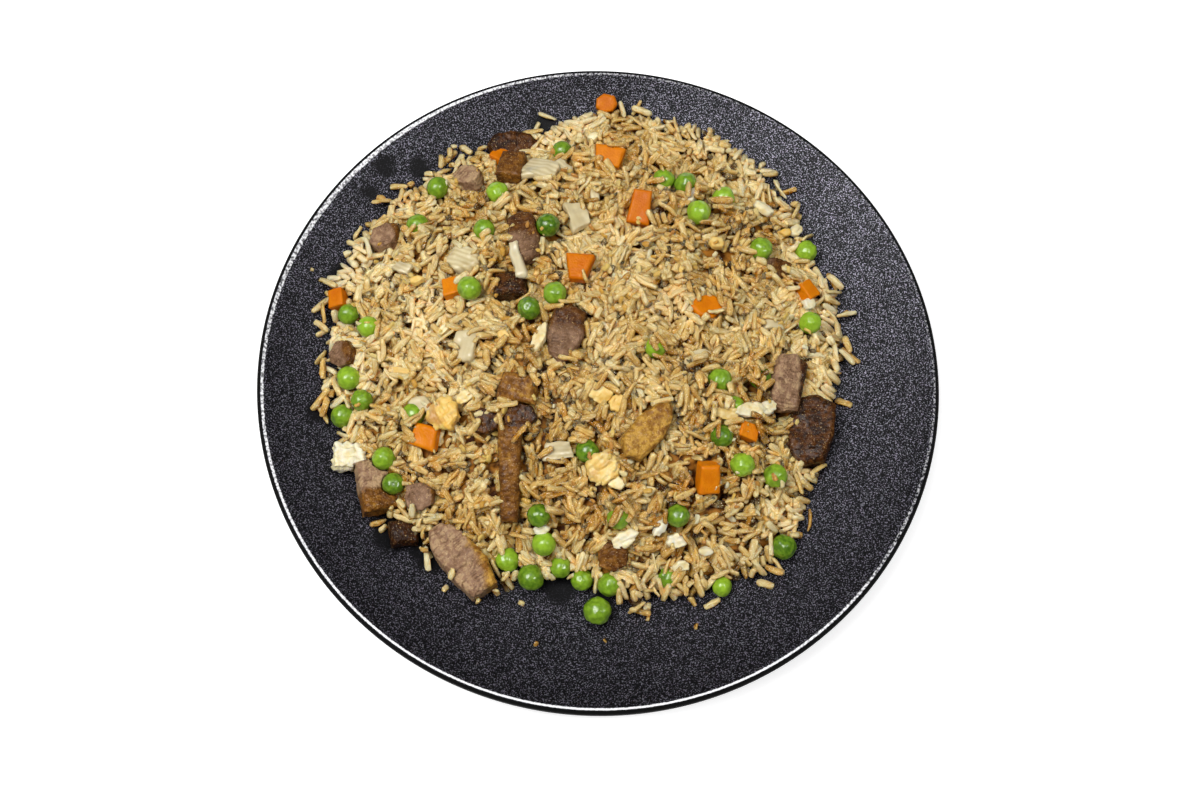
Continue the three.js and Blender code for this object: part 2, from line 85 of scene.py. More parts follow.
PLATE_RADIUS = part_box("plate")[1].x / MM
RIM_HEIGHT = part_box("plate")[1].z / MM
DISH_TOP = max(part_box(name)[1].z for name in frame["nodes"]) / MM
FLOOR_HEIGHT = 6  # top of the flat well above the table
FLOOR_THICKNESS = 3.6
WELL_RADIUS = 66  # where the flat well starts to rise
LIP_RADIUS = 117  # where the rising well meets the rounded lip
LIP_HEIGHT = 19
LIP_PEAK = 118.4  # the lip's highest ring, from where it rounds off outwards
LIP_BEAD = 1.5  # how far down that rounding goes
RIM_DEPTH = 4.6  # upright outer band of the lip
RISE_POWER = 1.7  # how late the well starts to climb
FOOT_INNER = 58
FOOT_OUTER = 63

HEAP_CENTRE = (-4, 9)
# Reach of the mound's edge from its centre, every 15 degrees counter-clockwise from +X.
HEAP_REACH = np.array([
    91, 91, 91, 95, 97, 95, 95, 89, 88, 90, 94, 95, 94, 93, 94, 94, 93, 88, 84, 94, 98, 101, 93, 89,
])
HEAP_EDGE = 4  # thickness of the mound at its edge
HEAP_CROWN = 27  # what the middle stands above that
HEAP_FULLNESS = 0.85  # lower is a fuller shoulder

PRESSED_BAND = 1  # how far under the dish's top a piece starts to be pressed down
PRESSED_SHARE = 0.98  # how much of that band it may fill

# ---- the surfaces that carry things ----


def well_height(radius):
    """Height of the plate's upper face at a distance from its centre."""
    climb = np.clip((radius - WELL_RADIUS) / (LIP_RADIUS - WELL_RADIUS), 0, None)
    return FLOOR_HEIGHT + (LIP_HEIGHT - FLOOR_HEIGHT) * climb ** RISE_POWER


def plate_top(x, y):
    """Height of the plate's upper face at a place."""
    return well_height(np.hypot(x, y))


def heap_reach(angle):
    """Reach of the mound's edge in one direction, smooth between the listed directions."""
    place = np.asarray(angle) / (2 * math.pi) * len(HEAP_REACH) % len(HEAP_REACH)
    before = np.floor(place).astype(int) % len(HEAP_REACH)
    share = (1 - np.cos((place - np.floor(place)) * math.pi)) / 2
    after = (before + 1) % len(HEAP_REACH)
    return HEAP_REACH[before] * (1 - share) + HEAP_REACH[after] * share


def heap_share(x, y):
    """How far out a place lies on the mound: 0 in its middle and 1 on its edge."""
    dx = x - HEAP_CENTRE[0]
    dy = y - HEAP_CENTRE[1]
    return np.hypot(dx, dy) / heap_reach(np.arctan2(dy, dx))


def clumps(x, y):
    """Gentle hills on the mound's face, the same as the solid's."""
    broad = np.sin(x / 11 + 1.3) * np.sin(y / 13 + 0.4)
    fine = np.sin((x + y) / 7 + 2) * np.sin((x - y) / 8)
    return 1.3 * broad + 0.8 * fine


def heap_top(x, y):
    """Height of the mound's upper face."""
    inside = np.clip(1 - heap_share(x, y) ** 2, 0, None)
    swell = np.clip(inside * 4, 0, 1)
    crown = HEAP_CROWN * inside ** HEAP_FULLNESS
    return plate_top(x, y) + HEAP_EDGE + crown + swell * clumps(x, y)


def normal_of(height, x, y):
    """Unit normal of one of the surfaces above."""
    step = 2
    slope_x = (height(x + step, y) - height(x - step, y)) / (2 * step)
    slope_y = (height(x, y + step) - height(x, y - step)) / (2 * step)
    return Vector((-slope_x, -slope_y, 1)).normalized()


# ---- random numbers and noise ----


def hashed(places, seed):
    """Repeatable numbers from 0 to 1, one for each row of whole numbers."""
    mixed = np.full(len(places), seed * 2654435761 % 2 ** 32, dtype=np.uint64)
    for column, prime in zip(places.T, (374761393, 668265263, 2246822519)):
        mixed = (mixed ^ (column.astype(np.int64).astype(np.uint64) * prime)) * 3266489917
        mixed = (mixed ^ (mixed >> 15)) & 0xFFFFFFFF
    return mixed / 2 ** 32


def noise(points, size, seed=0):
    """Smooth random values from -1 to 1, with one bump about every `size`."""
    scaled = np.asarray(points, dtype=float) / size
    base = np.floor(scaled)
    part = scaled - base
    part = part * part * (3 - 2 * part)
    total = np.zeros(len(scaled))
    for corner in itertools.product((0, 1), repeat=scaled.shape[1]):
        weight = np.where(np.array(corner) == 1, part, 1 - part).prod(axis=1)
        total += weight * hashed(base + corner, seed)
    return total * 2 - 1


def layered_noise(points, size, seed=0, layers=3):
    """Noise with finer noise of half the size and strength on it, layer by layer."""
    total = sum(noise(points, size / 2 ** k, seed + k) / 2 ** k for k in range(layers))
    return total / (2 - 2 ** (1 - layers))


def chance(seed, *numbers):
    """One repeatable number from 0 to 1."""
    return hashed(np.array([numbers]), seed)[0]


def smooth_step(low, high, values):
    """0 below the low value, 1 above the high one and a smooth climb between them."""
    share = np.clip((values - low) / (high - low), 0, 1)
    return share * share * (3 - 2 * share)


# ---- meshes as arrays of corners and faces, in millimetres ----


class Shape:
    """Corners, faces of 3 or 4 corners, and numbers that each corner carries for its finish."""

    def __init__(self, corners, faces, **marks):
        self.corners = np.asarray(corners, dtype=float)
        self.faces = [tuple(face) for face in faces]
        self.marks = {name: self.spread(values) for name, values in marks.items()}

    def spread(self, values):
        return np.broadcast_to(np.asarray(values, dtype=float), (len(self.corners),)).copy()

    def mark(self, **marks):
        self.marks.update({name: self.spread(values) for name, values in marks.items()})
        return self

    def normals(self):
        mesh = self.to_mesh("normals")
        found = np.empty(len(mesh.vertices) * 3, dtype=np.float32)
        mesh.vertex_normals.foreach_get("vector", found)
        bpy.data.meshes.remove(mesh)
        return found.reshape(-1, 3).astype(float)

    def to_mesh(self, name, unit=1.0):
        mesh = bpy.data.meshes.new(name)
        mesh.from_pydata((self.corners * unit).tolist(), [], self.faces)
        for mark, values in self.marks.items():
            layer = mesh.attributes.new(mark, "FLOAT", "POINT")
            layer.data.foreach_set("value", values.astype(np.float32))
        return mesh


def joined(shapes):
    """One shape of several. All of them carry the same marks."""
    corners = np.vstack([shape.corners for shape in shapes])
    starts = np.cumsum([0] + [len(shape.corners) for shape in shapes[:-1]])
    faces = []
    for start, shape in zip(starts.tolist(), shapes):
        faces.extend(tuple(corner + start for corner in face) for face in shape.faces)
    marks = {}
    for name in shapes[0].marks:
        marks[name] = np.concatenate([shape.marks[name] for shape in shapes])
    return Shape(corners, faces, **marks)


def node_shape(name):
    """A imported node's corners and faces, with shared corners merged."""
    mesh = frame["nodes"][name].data
    corners = np.empty(len(mesh.vertices) * 3, dtype=np.float32)
    mesh.vertices.foreach_get("co", corners)
    rounded = np.round(corners.reshape(-1, 3) / MM, 2)
    kept, place = np.unique(rounded, axis=0, return_inverse=True)
    place = place.ravel()
    faces = [tuple(place[list(polygon.vertices)].tolist()) for polygon in mesh.polygons]
    return Shape(kept, [face for face in faces if len(set(face)) == len(face)])


def remeshed(shape, cell, rounds):
    """The shape with an even skin of small squares, its edges rounded."""
    mesh = shape.to_mesh("remesh")
    body = bpy.data.objects.new("remesh", mesh)
    bpy.context.scene.collection.objects.link(body)
    remesh = body.modifiers.new("skin", "REMESH")
    remesh.mode = "VOXEL"
    remesh.voxel_size = cell
    soften = body.modifiers.new("soften", "SMOOTH")
    soften.factor = 0.5
    soften.iterations = rounds
    depsgraph = bpy.context.evaluated_depsgraph_get()
    made = bpy.data.meshes.new_from_object(body.evaluated_get(depsgraph))
    corners = np.empty(len(made.vertices) * 3, dtype=np.float32)
    made.vertices.foreach_get("co", corners)
    faces = [tuple(polygon.vertices) for polygon in made.polygons]
    bpy.data.objects.remove(body)
    bpy.data.meshes.remove(mesh)
    bpy.data.meshes.remove(made)
    return Shape(corners.reshape(-1, 3), faces)


def box_middle(shape):
    return (shape.corners.min(axis=0) + shape.corners.max(axis=0)) / 2


def main_axes(shape):
    """The shape's middle and its long, middle and short directions."""
    middle = box_middle(shape)
    spread = shape.corners - middle
    _, _, axes = np.linalg.svd(spread, full_matrices=False)
    return middle, axes


def slab(outline, thickness):
    """A flat piece of the outline, its middle at the origin."""
    count = len(outline)
    corners = [(x, y, z) for z in (-thickness / 2, thickness / 2) for x, y in outline]
    sides = [(i, (i + 1) % count, (i + 1) % count + count, i + count) for i in range(count)]
    lids = []
    for i in range(1, count - 1):
        lids.append((0, i + 1, i))
        lids.append((count, count + i, count + i + 1))
    return Shape(corners, sides + lids)


def settled(shape, height, x, y, lift, turn=0, lean=0):
    """The shape laid on a surface: its Z along the normal, turned about it, and leaned."""
    normal = normal_of(height, x, y)
    upright = Vector((0, 0, 1)).rotation_difference(normal)
    turned = Quaternion((0, 0, 1), math.radians(turn)) @ Quaternion((1, 0, 0), math.radians(lean))
    rotation = np.array((upright @ turned).to_matrix())
    middle = np.array((x, y, float(height(x, y)))) + np.array(normal) * lift
    return Shape(shape.corners @ rotation.T + middle, shape.faces, **shape.marks)


def finish_piece(name, shape, material, replaces=()):
    """Turns a shape into a visible piece, its top pressed down to stay inside the solids' box."""
    over = np.clip(shape.corners[:, 2] - (DISH_TOP - PRESSED_BAND), 0, None)
    shape.corners[:, 2] += PRESSED_SHARE * np.tanh(over) - over
    mesh = shape.to_mesh(name, MM)
    mesh.shade_smooth()
    mesh.materials.append(material)
    piece = bpy.data.objects.new(name, mesh)
    bpy.context.scene.collection.objects.link(piece)
    return ride_piece(piece, replaces)


def ride_piece(piece, replaces=()):
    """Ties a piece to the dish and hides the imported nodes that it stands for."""
    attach(piece, "root")
    if replaces:
        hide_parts(*replaces)
    return piece


def nodes_called(family):
    """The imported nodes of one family, such as pea_01 to pea_31, in order."""
    return sorted(name for name in frame["nodes"] if name.startswith(family + "_"))


# ---- node trees ----


def linear(red, green, blue):
    """A colour given as a screen shows it, 0 to 255, as light that a shader adds up."""
    def one(value):
        share = value / 255
        return share / 12.92 if share <= 0.04045 else ((share + 0.055) / 1.055) ** 2.4
    return (one(red), one(green), one(blue), 1.0)


def solid(colour, shares=(1, 1, 1)):
    """A setting's colour, each channel taken at a share, with no light let through."""
    return tuple(part * share for part, share in zip(colour, shares)) + (1.0,)


def add_node(tree, kind, **settings):
    """A node with its settings, and its inputs by name or number from a dict called inputs."""
    inputs = settings.pop("inputs", {})
    node = tree.nodes.new(kind)
    for key, value in settings.items():
        setattr(node, key, value)
    for key, value in inputs.items():
        socket = node.inputs[key]
        if isinstance(value, bpy.types.NodeSocket):
            tree.links.new(value, socket)
        else:
            socket.default_value = value
    return node


def add_math(tree, operation, *values):
    node = add_node(tree, "ShaderNodeMath", operation=operation, inputs=dict(enumerate(values)))
    return node.outputs[0]


def add_ramp(tree, mask, stops):
    """Colours along a mask, each stop a share and a colour."""
    node = add_node(tree, "ShaderNodeValToRGB", inputs={0: mask})
    elements = node.color_ramp.elements
    while len(elements) < len(stops):
        elements.new(0.5)
    for element, (share, colour) in zip(elements, stops):
        element.position = share
        element.color = colour
    return node.outputs[0]


def add_mix(tree, mask, first, second, blend="MIX"):
    """Two colours mixed by a mask, each a socket or a value."""
    node = add_node(tree, "ShaderNodeMix", data_type="RGBA", blend_type=blend)
    for key, value in ((0, mask), (6, first), (7, second)):
        if isinstance(value, bpy.types.NodeSocket):
            tree.links.new(value, node.inputs[key])
        else:
            node.inputs[key].default_value = value
    return node.outputs[2]


def add_attribute(tree, name):
    return add_node(tree, "ShaderNodeAttribute", attribute_name=name).outputs["Fac"]


def new_group(name, inputs, outputs):
    """An empty shader group with its sockets, each given as a name, a type and a default."""
    group = bpy.data.node_groups.new(name, "ShaderNodeTree")
    for label, kind, value in inputs:
        socket = group.interface.new_socket(label, in_out="INPUT", socket_type=kind)
        socket.default_value = value
    for label, kind in outputs:
        group.interface.new_socket(label, in_out="OUTPUT", socket_type=kind)
    source = group.nodes.new("NodeGroupInput")
    target = group.nodes.new("NodeGroupOutput")
    return group, source, target


def mottle_group():
    """Blotches of one size: a mask from 0 to 1, with finer blotches on it."""
    if "Mottle" in bpy.data.node_groups:
        return bpy.data.node_groups["Mottle"]
    group, source, target = new_group(
        "Mottle",
        [
            ("Size mm", "NodeSocketFloat", 4.0), ("Low", "NodeSocketFloat", 0.35),
            ("High", "NodeSocketFloat", 0.65),
        ],
        [("Mask", "NodeSocketFloat")],
    )
    place = group.nodes.new("ShaderNodeTexCoord").outputs["Object"]
    scale = add_math(group, "DIVIDE", 1 / MM, source.outputs["Size mm"])
    texture = add_node(group, "ShaderNodeTexNoise", inputs={
        "Vector": place, "Scale": scale, "Detail": 3.0,
    })
    spread = add_node(group, "ShaderNodeMapRange", interpolation_type="SMOOTHSTEP", inputs={
        "Value": texture.outputs["Fac"], "From Min": source.outputs["Low"],
        "From Max": source.outputs["High"],
    })
    group.links.new(spread.outputs[0], target.inputs["Mask"])
    return group


def grain_group():
    """Fine cells, such as a skin's pores or a rough glaze: a height, and a glint on the tallest."""
    if "Fine cells" in bpy.data.node_groups:
        return bpy.data.node_groups["Fine cells"]
    group, source, target = new_group(
        "Fine cells",
        [("Size mm", "NodeSocketFloat", 0.5), ("Glint share", "NodeSocketFloat", 0.3)],
        [("Height", "NodeSocketFloat"), ("Glint", "NodeSocketFloat")],
    )
    place = group.nodes.new("ShaderNodeTexCoord").outputs["Object"]
    scale = add_math(group, "DIVIDE", 1 / MM, source.outputs["Size mm"])
    cells = add_node(group, "ShaderNodeTexVoronoi", feature="SMOOTH_F1", inputs={
        "Vector": place, "Scale": scale, "Smoothness": 0.6,
    })
    tone = add_node(group, "ShaderNodeTexWhiteNoise", noise_dimensions="3D", inputs={
        "Vector": cells.outputs["Position"],
    })
    height = add_math(group, "SUBTRACT", 1.0, cells.outputs["Distance"])
    edge = add_math(group, "SUBTRACT", 1.0, source.outputs["Glint share"])
    fade = add_node(group, "ShaderNodeMapRange", inputs={
        "Value": tone.outputs["Value"], "From Min": edge, "From Max": 1.0,
    })
    group.links.new(height, target.inputs["Height"])
    group.links.new(add_math(group, "MULTIPLY", fade.outputs[0], height), target.inputs["Glint"])
    return group


def add_group(tree, group, **inputs):
    """A shader group placed in a tree, with its own values."""
    node = add_node(tree, "ShaderNodeGroup", node_tree=group)
    for key, value in inputs.items():
        node.inputs[key.replace("_", " ")].default_value = value
    return node


def mottle(tree, size, low=0.35, high=0.65):
    """The mask of a blotch group of one size, in millimetres."""
    return add_group(tree, mottle_group(), Size_mm=size, Low=low, High=high).outputs["Mask"]


def new_material(name):
    material = bpy.data.materials.new(name)
    material.use_nodes = True
    tree = material.node_tree
    return material, tree, tree.nodes["Principled BSDF"]


def set_inputs(shader, values):
    for name, value in values.items():
        shader.inputs[name].default_value = value


def add_bump(tree, shader, height, distance):
    """Bump of a depth in millimetres."""
    bump = add_node(tree, "ShaderNodeBump", inputs={
        "Height": height, "Distance": distance * MM, "Strength": 1.0,
    })
    tree.links.new(bump.outputs["Normal"], shader.inputs["Normal"])


def add_cells(tree, shader, size, depth):
    """Bump of fine cells, their size and depth in millimetres."""
    cells = add_group(tree, grain_group(), Size_mm=size)
    add_bump(tree, shader, cells.outputs["Height"], depth)


def set_flesh(shader, weight, red, green, blue):
    """Light that soaks into soft food, with how deep each colour goes in millimetres."""
    set_inputs(shader, {
        "Subsurface Weight": weight, "Subsurface Radius": (red, green, blue), "Subsurface Scale": MM,
    })


# ---- the plate ----


PLATE_SIDES = 288
FLAT_RINGS = 12
RISE_RINGS = 31
LIP_BAND = 1.8  # the part inside the lip's peak that has finer rings
LIP_RINGS = 13
LIP_EASE = 6  # how far inside the lip the face starts to turn up to it
UNDER_RINGS = 16


def plate_profile():
    """The turned outline, from the middle of the upper face out over the lip and back below."""
    outline = [(radius, well_height(radius)) for radius in np.linspace(0, WELL_RADIUS, FLAT_RINGS)]
    fine = LIP_PEAK - LIP_BAND
    climb = np.linspace(WELL_RADIUS, fine - 0.1, RISE_RINGS)[1:]
    step = RIM_HEIGHT - well_height(LIP_PEAK)
    for radius in np.append(climb, np.linspace(fine, LIP_PEAK, LIP_RINGS)):
        eased = step * smooth_step(LIP_RADIUS - LIP_EASE, LIP_PEAK, radius)
        outline.append((radius, well_height(radius) + eased))
    for degrees in np.linspace(84, 0, 14):
        angle = math.radians(degrees)
        out = LIP_PEAK + (PLATE_RADIUS - LIP_PEAK) * math.cos(angle)
        outline.append((out, RIM_HEIGHT - LIP_BEAD + LIP_BEAD * math.sin(angle)))
    band = RIM_HEIGHT - RIM_DEPTH
    for inwards, up in ((0, 1.2), (0.4, 0.5), (1.4, -0.1)):
        outline.append((PLATE_RADIUS - inwards, band + up))
    for radius in np.linspace(LIP_RADIUS - 3, FOOT_OUTER + 7, UNDER_RINGS):
        outline.append((radius, well_height(radius) - FLOOR_THICKNESS))
    base = FLOOR_HEIGHT - FLOOR_THICKNESS
    # The foot ring, from its outer side inwards.
    outline += [
        (FOOT_OUTER + 1.8, base), (FOOT_OUTER + 0.9, base - 0.5), (FOOT_OUTER + 0.3, 0.5),
        (FOOT_OUTER - 0.4, 0), (FOOT_INNER + 0.6, 0), (FOOT_INNER, 0.5),
        (FOOT_INNER - 0.6, base - 0.5), (FOOT_INNER - 1.6, base), (0, base),
    ]
    return outline


def turned(profile, sides):
    """A closed shape turned about Z, its profile starting and ending on the axis."""
    angles = np.linspace(0, 2 * math.pi, sides, endpoint=False)
    corners = [(0, 0, profile[0][1])]
    for radius, height in profile[1:-1]:
        level = np.full(sides, height)
        corners.extend(np.column_stack([radius * np.cos(angles), radius * np.sin(angles), level]))
    corners.append((0, 0, profile[-1][1]))
    rings = len(profile) - 2
    last = len(corners) - 1
    faces = []
    for j in range(sides):
        after = (j + 1) % sides
        faces.append((0, 1 + j, 1 + after))
        faces.append((last, 1 + (rings - 1) * sides + after, 1 + (rings - 1) * sides + j))
        for i in range(rings - 1):
            start = 1 + i * sides
            faces.append((start + j, start + sides + j, start + sides + after, start + after))
    return Shape(np.vstack(corners), faces)


# Darker marks with less speckle on the plate's face, x, y and radius: sauce stains, and painted shadow
# where they lie at the mound's front foot.
OIL_MARKS = [
    (-52, -66, 11), (-8, -76, 7), (6, -82, 5), (-85, 74, 4), (-89, 63, 3), (-72, 76, 4), (-28, 98, 5),
    (-66, -62, 9), (-2, 104, 6), (-96, 30, 5), (-97, -22, 5),
]
# The pale painted highlight just inside the lip's peak, every 30 degrees from +X: width and strength.
LIP_HIGHLIGHT_WIDTH = np.array([0.7, 0.6, 0.6, 0.7, 0.9, 1.6, 1.0, 0.8, 0.65, 0.65, 0.65, 0.9])
LIP_HIGHLIGHT_STRENGTH = np.array([0.36, 0.28, 0.28, 0.4, 0.8, 0.62, 0.6, 0.8, 1.0, 1.0, 1.0, 0.5])


def plate_material(settings):
    """Black glaze with a fine pale speckle, less of it on the sauce stains and the painted shadows, and a
    painted highlight along the lip.
    """
    material, tree, shader = new_material("Speckled black glaze")
    # Less speckle on the marks: sauce stains, and painted shadow at the mound's front foot.
    dry = add_math(tree, "MULTIPLY_ADD", add_attribute(tree, "wet"), -0.75, 1.0)
    fleck = add_math(tree, "MULTIPLY", mottle(tree, settings.speckle_size, 0.48, 0.66), dry)
    fleck = add_math(tree, "POWER", fleck, 2.2)
    pale = solid(settings.speckle_colour)
    warm = solid(settings.speckle_colour, (1.06, 0.97, 1.08))
    speckle = add_mix(tree, mottle(tree, 1.6), pale, warm)
    colour = add_mix(tree, fleck, solid(settings.glaze_colour), speckle)
    # Painted highlight: a pale line along the lip, broken up by blotches, with no metal flecks under it.
    painted_highlight = add_math(tree, "MULTIPLY_ADD", add_attribute(tree, "crest"), 2.2, -0.45)
    broken = add_math(tree, "MULTIPLY", mottle(tree, 0.9, 0.4, 0.62), -0.8)
    painted_highlight = add_math(tree, "ADD", painted_highlight, broken)
    painted_highlight = add_node(tree, "ShaderNodeClamp", inputs={0: painted_highlight}).outputs[0]
    colour = add_mix(tree, painted_highlight, colour, linear(252, 252, 255))
    tree.links.new(colour, shader.inputs["Base Color"])
    bare = add_math(tree, "SUBTRACT", 1.0, painted_highlight)
    metal = add_math(tree, "MULTIPLY", fleck, bare)
    tree.links.new(metal, shader.inputs["Metallic"])
    rough = add_math(tree, "MULTIPLY_ADD", mottle(tree, 9.0), 0.05, settings.roughness)
    tree.links.new(rough, shader.inputs["Roughness"])
    set_inputs(shader, {"Specular IOR Level": 0.15})
    return material


def band_material():
    """The plain black of the lip's outer side and of the plate's underside."""
    material, _, shader = new_material("Black outer band")
    set_inputs(shader, {
        "Base Color": (0.003, 0.003, 0.003, 1), "Roughness": 0.6, "Specular IOR Level": 0.08,
    })
    return material


def along_rim(turn, values):
    """The value in one direction, between those that are listed all round from +X."""
    steps = np.linspace(0, 2 * math.pi, len(values) + 1)
    return np.interp(turn, steps, np.append(values, values[0]))


def make_plate(settings):
    shape = turned(plate_profile(), PLATE_SIDES)
    x, y, z = shape.corners.T
    # The marks: sauce stains, and painted shadow at the mound's front foot.
    wet = np.zeros(len(x))
    for left, front, radius in OIL_MARKS:
        edge = radius * (1 + 0.5 * layered_noise(shape.corners, 5, seed=3))
        distance = np.hypot(x - left, y - front)
        wet = np.maximum(wet, 1 - smooth_step(0.75, 1.05, distance / edge))
    radius = np.hypot(x, y)
    upper = z > well_height(radius) - 0.5
    turn = np.arctan2(y, x) % (2 * math.pi)
    # Painted highlight along the lip, its width and strength given all round.
    inner = LIP_PEAK - along_rim(turn, LIP_HIGHLIGHT_WIDTH)
    crest = smooth_step(inner - 0.2, inner + 0.2, radius) * (radius < LIP_PEAK + 0.05)
    crest = crest * along_rim(turn, LIP_HIGHLIGHT_STRENGTH) * upper
    shape.mark(wet=wet * upper, crest=crest)
    piece = finish_piece("plate_glazed", shape, plate_material(settings), ["plate"])
    piece.data.materials.append(band_material())
    for polygon in piece.data.polygons:
        middle = polygon.center / MM
        outside = math.hypot(middle.x, middle.y) > LIP_PEAK + 0.1
        polygon.material_index = int(outside and middle.z > 3)
    return piece


# ---- the toppings ----

# Smaller pieces that the rice half covers: x, y, and how far the middle stands above the mound.
HIDDEN_PEAS = [
    (-19.5, 83, -0.4), (-69.4, 48.7, -0.6), (-44.5, 45.5, -0.4), (40.7, 66.5, 0), (18.7, 2.8, -0.6),
    (56.5, -2, -1), (-2.3, -34.2, -0.8), (43.4, -25, -0.8), (9.7, -56, -1), (46.8, -14, -1.2),
    (-62.8, -23.5, -0.4), (-90.5, 13.5, 0), (-64, 65.5, 0), (18.8, 72.4, -0.4),
]
PEA_WRINKLE = 0.055  # a pea's relief, as shares of its radius
PEA_CREASE = -0.13
PEA_LUMP = 0.03
PEA_DIMPLE = -0.09
PEA_SEED = 41


def pea_shape(detail):
    """A ball of one millimetre's radius, with even corners."""
    ball = bmesh.new()
    bmesh.ops.create_icosphere(ball, subdivisions=detail, radius=1.0)
    corners = [vertex.co[:] for vertex in ball.verts]
    faces = [tuple(vertex.index for vertex in face.verts) for face in ball.faces]
    ball.free()
    return Shape(corners, faces)


def one_pea(ball, middle, radius, flat, seed):
    """A cooked pea: a ball a little flat one way, with a dimple and faint wrinkles."""
    rng = np.random.default_rng(seed)
    turn = np.array(Quaternion(rng.normal(size=4)).normalized().to_matrix())
    ways = ball.corners
    dimple = rng.normal(size=3)
    dimple /= np.linalg.norm(dimple)
    near = np.clip(ways @ dimple, -1, 1)
    wrinkles = noise(ways + seed * 3.1, 0.42, seed) * PEA_WRINKLE * rng.uniform(0.3, 1.3)
    creases = np.abs(noise(ways + seed * 1.7, 0.33, seed + 9)) * PEA_CREASE * rng.uniform(0.2, 1.2)
    lumps = noise(ways + seed, 1.1, seed + 4) * PEA_LUMP
    pit = PEA_DIMPLE * np.exp(-((1 - near) / 0.05))
    size = radius * (1 + wrinkles + creases + lumps + pit)
    squeezed = ways * size[:, None] * np.array((1, 1, flat))
    corners = squeezed @ turn.T + middle
    return Shape(corners, ball.faces, tone=rng.uniform(0, 1), pit=np.exp(-((1 - near) / 0.03)))


def press_apart(shapes, middles, radii):
    """Flattens peas where they touch, on the plane between them."""
    for i, j in itertools.permutations(range(len(shapes)), 2):
        gap = middles[j] - middles[i]
        distance = np.linalg.norm(gap)
        if distance > radii[i] + radii[j]:
            continue
        way = gap / distance
        plane = (distance + (radii[i] - radii[j])) / 2 - 0.05
        along = (shapes[i].corners - middles[i]) @ way
        over = np.clip(along - plane, 0, None)
        shapes[i].corners -= over[:, None] * way


def make_peas(settings):
    rng = np.random.default_rng(PEA_SEED)
    fine, coarse = pea_shape(4), pea_shape(3)
    shapes, middles, radii = [], [], []
    for name in nodes_called("pea"):
        solid_pea = node_shape(name)
        middle = box_middle(solid_pea)
        middles.append(middle)
        radii.append(np.median(np.linalg.norm(solid_pea.corners - middle, axis=1)))
        shapes.append(one_pea(fine, middle, radii[-1], rng.uniform(0.93, 1), len(shapes)))
    for x, y, lift in HIDDEN_PEAS:
        face = np.array((x, y, float(heap_top(x, y))))
        middle = face + np.array(normal_of(heap_top, x, y)) * lift
        middles.append(middle)
        radii.append(rng.uniform(3.9, 4.3))
        shapes.append(one_pea(coarse, middle, radii[-1], rng.uniform(0.9, 1), len(shapes)))
    press_apart(shapes, middles, radii)
    whole = joined(shapes)
    return finish_piece("peas", whole, pea_material(settings), nodes_called("pea"))


def pea_material(settings):
    material, tree, shader = new_material("Cooked pea")
    tone = add_math(tree, "MULTIPLY_ADD", mottle(tree, 1.6), 0.4, add_attribute(tree, "tone"))
    colour = add_ramp(tree, add_math(tree, "MULTIPLY", tone, 0.74), [
        (0.0, solid(settings.pea_deep)), (0.9, solid(settings.pea_bright)),
    ])
    pit = add_math(tree, "MULTIPLY", add_attribute(tree, "pit"), 0.7)
    colour = add_mix(tree, pit, colour, linear(58, 92, 20))
    tree.links.new(colour, shader.inputs["Base Color"])
    set_inputs(shader, {"Roughness": 0.27, "Coat Weight": 0.35, "Coat Roughness": 0.12})
    set_flesh(shader, 0.25, 0.9, 1.1, 0.3)
    add_cells(tree, shader, 0.9, 0.05)
    return material


SKIN_CELL = 0.42  # the squares of a cut piece's skin
PORK_CELL = 0.5


def box_outline(width, height, taper=1.0):
    """A four-sided outline, one side narrower by the taper."""
    return [
        (-width / 2, -height / 2), (width / 2, -height / 2),
        (width / 2 * taper, height / 2), (-width / 2 * taper, height / 2),
    ]


def torn_outline(length, width, count, seed):
    """Corners round an ellipse, each pushed in or out by chance."""
    outline = []
    for k in range(count):
        angle = 2 * math.pi * k / count
        push = 0.8 + 0.4 * chance(11, seed, k, 1)
        outline.append((length / 2 * push * math.cos(angle), width / 2 * push * math.sin(angle)))
    return outline


def cut_piece(shape, cell, rounds, relief):
    """A piece of cut food: rounded edges, and relief worked out on its own axes."""
    made = remeshed(shape, cell, rounds)
    middle, axes = main_axes(made)
    own = (made.corners - middle) @ axes.T
    made.corners = made.corners + made.normals() * relief(own)[:, None]
    return made, own


# Half-covered dice of carrot: x, y, lift and turn.
HIDDEN_CARROTS = [
    (-95, 19.5, 0, 10), (72.6, 34, 0, 40), (52, -22, -0.6, 80), (-53.6, 21.4, -0.6, 15),
    (-42, 80, -0.4, 60),
]


def make_carrots(settings):
    shapes = []
    sources = [node_shape(name) for name in nodes_called("carrot")]
    for x, y, lift, turn in HIDDEN_CARROTS:
        sources.append(settled(slab(box_outline(6, 7, 0.9), 5), heap_top, x, y, lift, turn))
    for i, source in enumerate(sources):
        def relief(own, i=i):
            broad = 0.28 * noise(own + i * 9, 4.5, i)
            return broad + 0.07 * noise(own, 1.1, i + 5)

        made, _ = cut_piece(source, SKIN_CELL, 3, relief)
        shapes.append(made.mark(tone=chance(7, i, 3, 8)))
    material = carrot_material(settings)
    return finish_piece("carrot_dice", joined(shapes), material, nodes_called("carrot"))


def carrot_material(settings):
    material, tree, shader = new_material("Cooked carrot")
    shade = add_math(tree, "MULTIPLY_ADD", mottle(tree, 3.2), 0.5, add_attribute(tree, "tone"))
    deep = solid(settings.carrot_colour, (0.8, 0.62, 0.6))
    colour = add_ramp(tree, add_math(tree, "MULTIPLY", shade, 0.66), [
        (0.1, deep), (0.9, solid(settings.carrot_colour)),
    ])
    tree.links.new(colour, shader.inputs["Base Color"])
    set_inputs(shader, {
        "Roughness": 0.42, "Specular IOR Level": 0.15, "Coat Weight": 0.08, "Coat Roughness": 0.15,
    })
    set_flesh(shader, 0.15, 1.0, 0.8, 0.3)
    add_cells(tree, shader, 0.6, 0.14)
    return material


